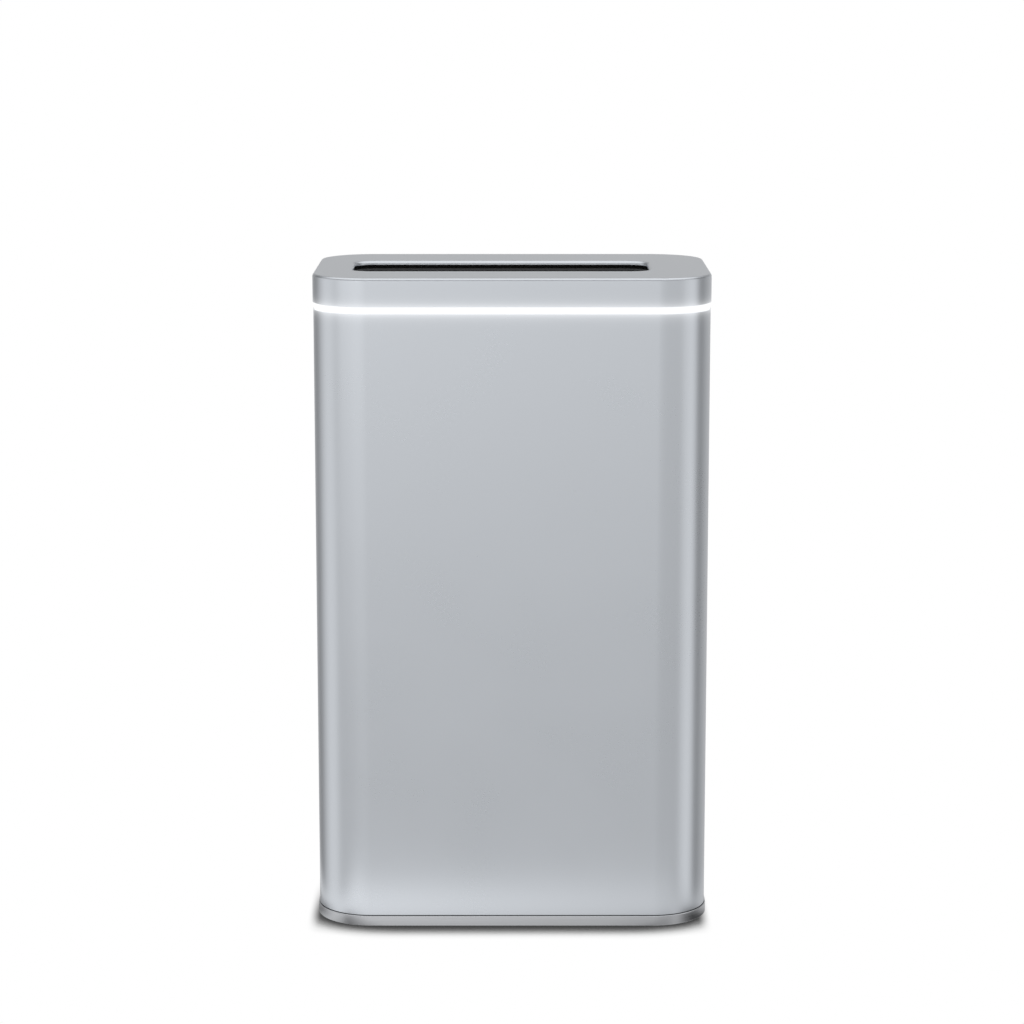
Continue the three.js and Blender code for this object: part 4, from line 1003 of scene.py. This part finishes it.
def make_guard(node):
    low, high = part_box(node)
    across = (high.x - low.x - window_bar) / window_columns
    rise = (high.z - low.z - window_rail) / window_rows
    columns, rows = range(window_columns), range(window_rows)
    grid = [(column * across, 0, row * rise) for column in columns for row in rows]
    first_low = (low.x + window_bar, low.y - overrun, low.z + window_rail)
    piece = add_block(f"punched_{node}", low, high)
    window = add_block("window", first_low, (low.x + across, high.y + overrun, low.z + rise))
    bevel_where(window, lambda a, b: abs(a.y - b.y) > TINY, window_corner, steps=6)
    carve(piece, copies(window, grid[1:]))
    stand_for(soften(piece, soft_edge), node, "brushed_guard")


make_guard("front_guard")
make_guard("rear_guard")

# %% [markdown]
# ## Ultraviolet lamps
# A germicidal lamp is a quartz tube with a metal cap at each end and an electrode behind each cap. The
# tube is a spun wall, open at both ends, where the caps close it. The caps and electrodes are a piece
# of their own, because they are metal.

# %% Lamps
tube_wall = 0.6 * MM
cap_length = 4.6 * MM
cap_edge = 1.0 * MM
electrode_radius = 0.35 * MM
electrode_end = cap_length + 7 * MM
electrode_disc = 1.4 * MM

nodes = [f"{place}_uv_lamp" for place in corner_places]
radius, length, origin = turned_size(nodes[0])
start, end = cap_length, length - cap_length
bore = radius - tube_wall
wall = [(bore, start), (radius, start), (radius, end), (bore, end), (bore, start)]
tube = shade(add_turned(f"tube_of_{nodes[0]}", wall, origin))
for tube, node in repeat(tube, nodes):
    stand_for(tube, node)
cap = [
    (0, 0), (radius - cap_edge, 0), (radius, cap_edge), (radius, cap_length),
    (electrode_radius, cap_length), (electrode_radius, electrode_end), (electrode_disc, electrode_end),
    (electrode_disc, electrode_end + electrode_radius), (0, electrode_end + electrode_radius),
]
lower = soften(add_turned(f"ends_of_{nodes[0]}", cap, origin), hair_edge)
upper = soften(add_turned("upper_end", [(r, length - h) for r, h in cap], origin), hair_edge)
for ends, node in repeat(shade(weld_on(lower, upper)), nodes):
    settle(ends, "steel", body_of[node])

# %% [markdown]
# ## The lift's turned parts
# The lead screw has four starts, so that one turn lifts the shelf by eight millimetres. Each start is a
# small ridge that the Screw modifier sweeps up round the core. Rods, bushes and the nut are turned
# brass and steel with chamfered ends.

# %% Rods, bushes and the nut
chamfer = 0.3 * MM
rod_radius = 1.5 * MM
bearing_flange = 1 * MM
upper_bearing_radii = (2.3 * MM, 3.7 * MM)
lower_bearing_radii = (3.3 * MM, 4.7 * MM)
nut_radii = (3.3 * MM, 4.5 * MM)
nut_flange = 1.5 * MM


def make_bush(node, bore, barrel, flange_height):
    """A bush with its flange on top."""
    flange, height, origin = turned_size(node)
    seat = height - flange_height
    outline = [
        (bore, 0), (barrel, 0), (barrel, seat), (flange, seat), (flange, height), (bore, height), (bore, 0),
    ]
    stand_for(soften(add_turned(f"turned_{node}", outline, origin), fine_edge), node)


_, length, origin = turned_size("front_guide_rod")
outline = [
    (0, 0), (rod_radius - chamfer, 0), (rod_radius, chamfer),
    (rod_radius, length - chamfer), (rod_radius - chamfer, length), (0, length),
]
rod = shade(add_turned("ground_front_guide_rod", outline, origin))
for rod, node in repeat(rod, ("front_guide_rod", "rear_guide_rod")):
    stand_for(rod, node)
make_bush("upper_bearing", *upper_bearing_radii, bearing_flange)
make_bush("lower_bearing", *lower_bearing_radii, bearing_flange)
make_bush("drive_nut", *nut_radii, nut_flange)

# %% One start of the thread
screw_radius = 3 * MM
screw_end_radius = 2 * MM
lead = 8 * MM
starts = 4
ridge_height = 0.5 * MM
core = screw_radius - ridge_height
ridge_foot = 0.65 * MM
ridge_tip = 0.35 * MM
screw_facets = 32


def add_ridge(start_height, turns, turn):
    """One start of the thread, with its two ends closed."""
    root = core - ridge_height
    corners = [(root, -ridge_foot), (screw_radius, -ridge_tip), (root, ridge_foot), (screw_radius, ridge_tip)]
    bpy.ops.mesh.primitive_plane_add(size=MM)
    piece = bpy.context.object
    for vertex, (radius, height) in zip(piece.data.vertices, corners):
        vertex.co = (radius, 0, start_height + height)
    edit_all(piece)
    bpy.ops.mesh.delete(type="ONLY_FACE")
    leave_edit()
    facets = {"steps": screw_facets, "render_steps": screw_facets}
    apply_modifier(piece, "SCREW", screw_offset=lead, iterations=turns, **facets)
    edit_all(piece)
    bpy.ops.mesh.remove_doubles(threshold=TINY / 10)
    bpy.ops.mesh.select_all(action="DESELECT")
    bpy.ops.mesh.select_non_manifold()
    bpy.ops.mesh.edge_face_add()
    close_mesh()
    leave_edit()
    piece.rotation_euler.z = turn
    return place_in_mesh(piece, "ridge")


# %% Lead screw
lower_end = 1 * MM
upper_end = 6.3 * MM

_, length, origin = turned_size("lead_screw")
outline = [
    (0, 0), (screw_end_radius - chamfer, 0), (screw_end_radius, chamfer), (screw_end_radius, lower_end),
    (core, lower_end), (core, length - upper_end), (screw_end_radius, length - upper_end),
    (screw_end_radius, length - chamfer), (screw_end_radius - chamfer, length), (0, length),
]
screw = add_turned("threaded_lead_screw", outline, (0, 0, 0), steps=screw_facets)
threaded = length - lower_end - upper_end - lead
turns = int(threaded / lead)
spare = (threaded - turns * lead) / 2
half_facet = math.pi / screw_facets
for start in range(starts):
    turn = math.tau * start / starts + half_facet
    weld_on(screw, add_ridge(lower_end + spare + lead / 2, turns, turn))
screw.location = origin
stand_for(shade(place_in_mesh(screw, "threaded_lead_screw")), "lead_screw")

# %% [markdown]
# ## Gear motors
# Both motors are the small flat kind: a gearbox of three plates, a round can cut flat on two sides, and
# an end cap with two solder tabs. One function builds them, upright for the lift and upside down for
# the shutters, whose output shaft points up.

# %% Motors
gearbox_plates = ((2.6 * MM, 0.0), (3.4 * MM, 0.25 * MM), (3.0 * MM, 0.0))
can_length = 14 * MM
can_edge = 0.8 * MM
end_cap_radius = 3 * MM
shaft_bore = 1.8 * MM
shaft_depth = 2 * MM
tab_size = Vector((0.5 * MM, 2 * MM, 1.4 * MM))


def make_motor(node, upright):
    low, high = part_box(node)
    x, y = middle_of(node)
    face, away = (low.z, 1) if upright else (high.z, -1)

    def span(start, end):
        """Two heights, measured from the output face, in rising order."""
        return sorted((face + away * start, face + away * end))

    def slab(name, inset, start, end):
        bottom, top = span(start, end)
        corner_low = (low.x + inset, low.y + inset, bottom)
        return add_rounded_block(name, corner_low, (high.x - inset, high.y - inset, top), can_edge, steps=4)

    def rod(name, radius, start, end, sides=64):
        bottom, top = span(start, end)
        return add_rod(name, radius, (x, y, bottom), (x, y, top), sides)

    thickness, inset = gearbox_plates[0]
    piece = slab(f"{node}_assembly", inset, 0, thickness)
    reached = thickness
    for thickness, inset in gearbox_plates[1:]:
        weld_on(piece, slab("plate", inset, reached, reached + thickness))
        reached += thickness
    can_end = reached + can_length
    can = rod("can", (high.y - low.y) / 2, reached - can_edge, can_end)
    combine(can, "INTERSECT", [slab("flats", 0, reached - can_edge, can_end)])
    weld_on(piece, can, rod("end_cap", end_cap_radius, reached, high.z - low.z, sides=48))
    for side in (-1, 1):
        bottom, top = span(can_end - can_edge, can_end + tab_size.z)
        tab_y = y + side * (end_cap_radius + tab_size.y / 2)
        tab_low = (x - tab_size.x / 2, tab_y - tab_size.y / 4, bottom)
        weld_on(piece, add_block("tab", tab_low, (x + tab_size.x / 2, tab_y + tab_size.y / 4, top)))
    carve(piece, rod("bore", shaft_bore, -overrun, shaft_depth, sides=32))
    stand_for(soften(piece, soft_edge), node)


make_motor("lift_motor", upright=True)
make_motor("shutter_motor", upright=False)

# %% [markdown]
# ## Shelf pad
# The device stands on a silicone mat. Its middle is a shallow trough that centres the device, with
# cross grooves for grip. The grooves are one bar, repeated by an Array modifier and cut out in one go.

# %% Shelf pad
pad_low, pad_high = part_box("shelf_pad")
pad_corner = 3 * MM
trough_border = 4.5 * MM
trough_floor = pad_high.z - 0.6 * MM
grip_width = 1.2 * MM
grip_round = grip_width * 0.49
grip_pitch = 4.4 * MM
grip_depth = 0.35 * MM

pad = add_rounded_block("silicone_mat", pad_low, pad_high, pad_corner, steps=8)
trough_low = (pad_low.x - overrun, pad_low.y + trough_border, trough_floor)
trough_high = (pad_high.x + overrun, pad_high.y - trough_border, pad_high.z + overrun)
carve(pad, add_block("trough", trough_low, trough_high))
first, grip_border = pad_low.x + pad_corner, trough_border + grip_width
bar_low = (first, pad_low.y + grip_border, trough_floor - grip_depth)
bar_high = (first + grip_width, pad_high.y - grip_border, pad_high.z + overrun)
bar = add_rounded_block("groove", bar_low, bar_high, grip_round, steps=6)
count = int((pad_high.x - pad_low.x - 2 * pad_corner) / grip_pitch)
spacing = {"use_constant_offset": True, "constant_offset_displace": (grip_pitch, 0, 0)}
carve(pad, apply_modifier(bar, "ARRAY", count=count, use_relative_offset=False, **spacing))
stand_for(soften(pad, slide_edge, steps=3), "shelf_pad")

# %% [markdown]
# ## Main board and lamp strips
# A board carries parts of other materials, so it is several pieces: the green board itself, the chip
# with its legs, three capacitors and a connector. The two strips under the light band carry a row of
# white lamps each.

# %% Main board
board_low, board_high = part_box("main_board")
board_top = 9.7 * MM
board_corner = 1.5 * MM
board_hole = 1.1 * MM
board_hole_inset = 5 * MM
board_middle_y = (board_low.y + board_high.y) / 2

corner = (board_high.x, board_high.y, board_top)
board = add_rounded_block("printed_board", board_low, corner, board_corner, steps=6)
below, above = board_low.z - overrun, board_top + overrun
for x in (board_low.x + board_hole_inset, board_high.x - board_hole_inset):
    for y in (board_low.y + board_hole_inset, board_high.y - board_hole_inset):
        carve(board, add_rod("hole", board_hole, (x, y, below), (x, y, above), sides=24))
stand_for(soften(board, hair_edge, steps=1), "main_board")

# %% Chip and its legs
chip_half = 6 * MM
chip_height = 1.2 * MM
chip_corner = 0.4 * MM
leg_count = 12
leg_size = Vector((0.4 * MM, 1.2 * MM, 0.5 * MM))

chip_low = Vector((-chip_half, board_middle_y - 2 * chip_half, board_top))
chip_high = Vector((chip_half, board_middle_y, board_top + chip_height))
chip = add_rounded_block("controller_chip", chip_low, chip_high, chip_corner, steps=3)
settle(soften(chip, fine_edge), "frame_plastic")
pitch = (chip_high.x - chip_low.x - leg_size.x) / leg_count
first = Vector((chip_low.x + pitch / 2, chip_low.y - leg_size.y, board_top))
leg = add_block("chip_legs", first, first + leg_size)
far_row = chip_high.y - chip_low.y + leg_size.y
steps = [(place * pitch, row * far_row, 0) for place in range(leg_count) for row in (0, 1)]
settle(soften(copies(leg, steps[1:]), hair_edge, steps=1), "steel")

# %% Capacitors and connector
can_radius = 3 * MM
can_height = 7 * MM
can_spacing = 9 * MM
crimp = 0.4 * MM
crimp_place = 1.2 * MM
connector_size = Vector((16 * MM, 5 * MM, 6 * MM))
connector_wall = 0.8 * MM

outline = [
    (0, 0), (can_radius, 0), (can_radius, crimp_place), (can_radius - crimp, crimp_place + crimp),
    (can_radius, crimp_place + 2 * crimp), (can_radius, can_height - crimp), (can_radius - crimp, can_height),
    (can_radius - 2 * crimp, can_height - crimp / 2), (0, can_height - crimp / 2),
]
origin = (board_low.x / 2, (board_low.y + board_middle_y) / 2 - can_spacing, board_top)
can = soften(add_turned("capacitors", outline, origin, steps=32), hair_edge, angle=25)
settle(copies(can, [(0, can_spacing, 0), (0, 2 * can_spacing, 0)]), "steel")

low = Vector((board_high.x / 2 - connector_size.x / 2, board_low.y + connector_wall, board_top))
connector = add_block("board_connector", low, low + connector_size)
inner_low, inner_high = grown(low, low + connector_size, -connector_wall, -connector_wall)
inner_low.z += connector_wall
inner_high.z += overrun
carve(connector, add_block("cavity", inner_low, inner_high))
settle(soften(connector, fine_edge), "gear_plastic")

# %% Lamp strips
lamp_chip = Vector((3 * MM, 1.4 * MM, 0.8 * MM))
lamp_chip_count = 8
strip_corner = 0.6 * MM

nodes = ("front_lamp_strip", "rear_lamp_strip")
low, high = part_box(nodes[0])
level = high.z - lamp_chip.z
board = add_rounded_block(f"{nodes[0]}_board", low, (high.x, high.y, level), strip_corner, steps=4)
for board, node in repeat(soften(board, hair_edge, steps=1), nodes):
    stand_for(board, node)
pitch = (high.x - low.x) / lamp_chip_count
first = Vector((low.x + (pitch - lamp_chip.x) / 2, (low.y + high.y - lamp_chip.y) / 2, level))
lamp = add_block(f"{nodes[0]}_lamps", first, first + lamp_chip)
lamps = copies(lamp, [(place * pitch, 0, 0) for place in range(1, lamp_chip_count)])
for lamps, _ in repeat(soften(lamps, fine_edge), nodes):
    settle(lamps, "light_guide")

# %% [markdown]
# ## Inlet and button
# At the back, the power inlet's barrel fills its hole in the shell, with the contact pin in the middle.
# The push button next to it stands a little proud and has a shallow dish for the fingertip, which is a
# curve in its turned outline.

# %% Power inlet
inlet_low, inlet_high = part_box("power_jack")
inlet_body_back = shell_high.y - shell_wall - 0.3 * MM
inlet_edge = 0.25 * MM
barrel_radius = 3.8 * MM
bore_radius = 2.8 * MM
bore_depth = 9 * MM
pin_radius = 0.7 * MM
pin_length = bore_depth - shell_wall
pin_round = pin_radius * 0.3


def port_rod(name, radius, start, end):
    return add_rod(name, radius, (jack_x, start, port_z), (jack_x, end, port_z))


inlet = add_block("power_inlet", inlet_low, (inlet_high.x, inlet_body_back, inlet_high.z))
weld_on(inlet, port_rod("barrel", barrel_radius, inlet_low.y + overrun, inlet_high.y))
carve(inlet, port_rod("bore", bore_radius, inlet_high.y - bore_depth, inlet_high.y + overrun))
stand_for(soften(inlet, inlet_edge, steps=3), "power_jack")
outline = [
    (0, 0), (pin_radius, 0), (pin_radius, pin_length - pin_radius),
    (pin_radius - pin_round, pin_length - pin_round), (0, pin_length),
]
origin = (jack_x, inlet_high.y - bore_depth, port_z)
settle(shade(add_turned("inlet_pin", outline, origin, along="Y", steps=24)), "steel")

# %% Push button
cap_radius = 4 * MM
cap_round = 0.3 * MM
dish_radius = 3.4 * MM
dish_depth = 0.45 * MM
dish_steps = 8
flange_start = 1.3 * MM
flange_end = 2.8 * MM
stem_radius = 1.7 * MM

length, flange = button_high.y - button_low.y, (button_high.x - button_low.x) / 2
shares = [1 - step / dish_steps for step in range(dish_steps + 1)]
dish = [(dish_radius * share, length - dish_depth * (1 - share**2)) for share in shares]
outline = [
    (0, 0), (stem_radius, 0), (stem_radius, flange_start), (flange, flange_start), (flange, flange_end),
    (cap_radius, flange_end), (cap_radius, length - cap_round),
    (cap_radius - cap_round * 0.3, length - cap_round * 0.3), (cap_radius - cap_round, length), *dish,
]
button = add_turned("push_button_cap", outline, (button_x, button_low.y, port_z), along="Y", steps=64)
stand_for(soften(button, slide_edge, angle=50), "rear_button", "button_plastic")

# %% [markdown]
# ## Closing
# Every CAD node now has a piece that stands for it.

# %% Finish of the CAD nodes
for node in frame["nodes"].values():
    paint(node, slot_of[node.name])
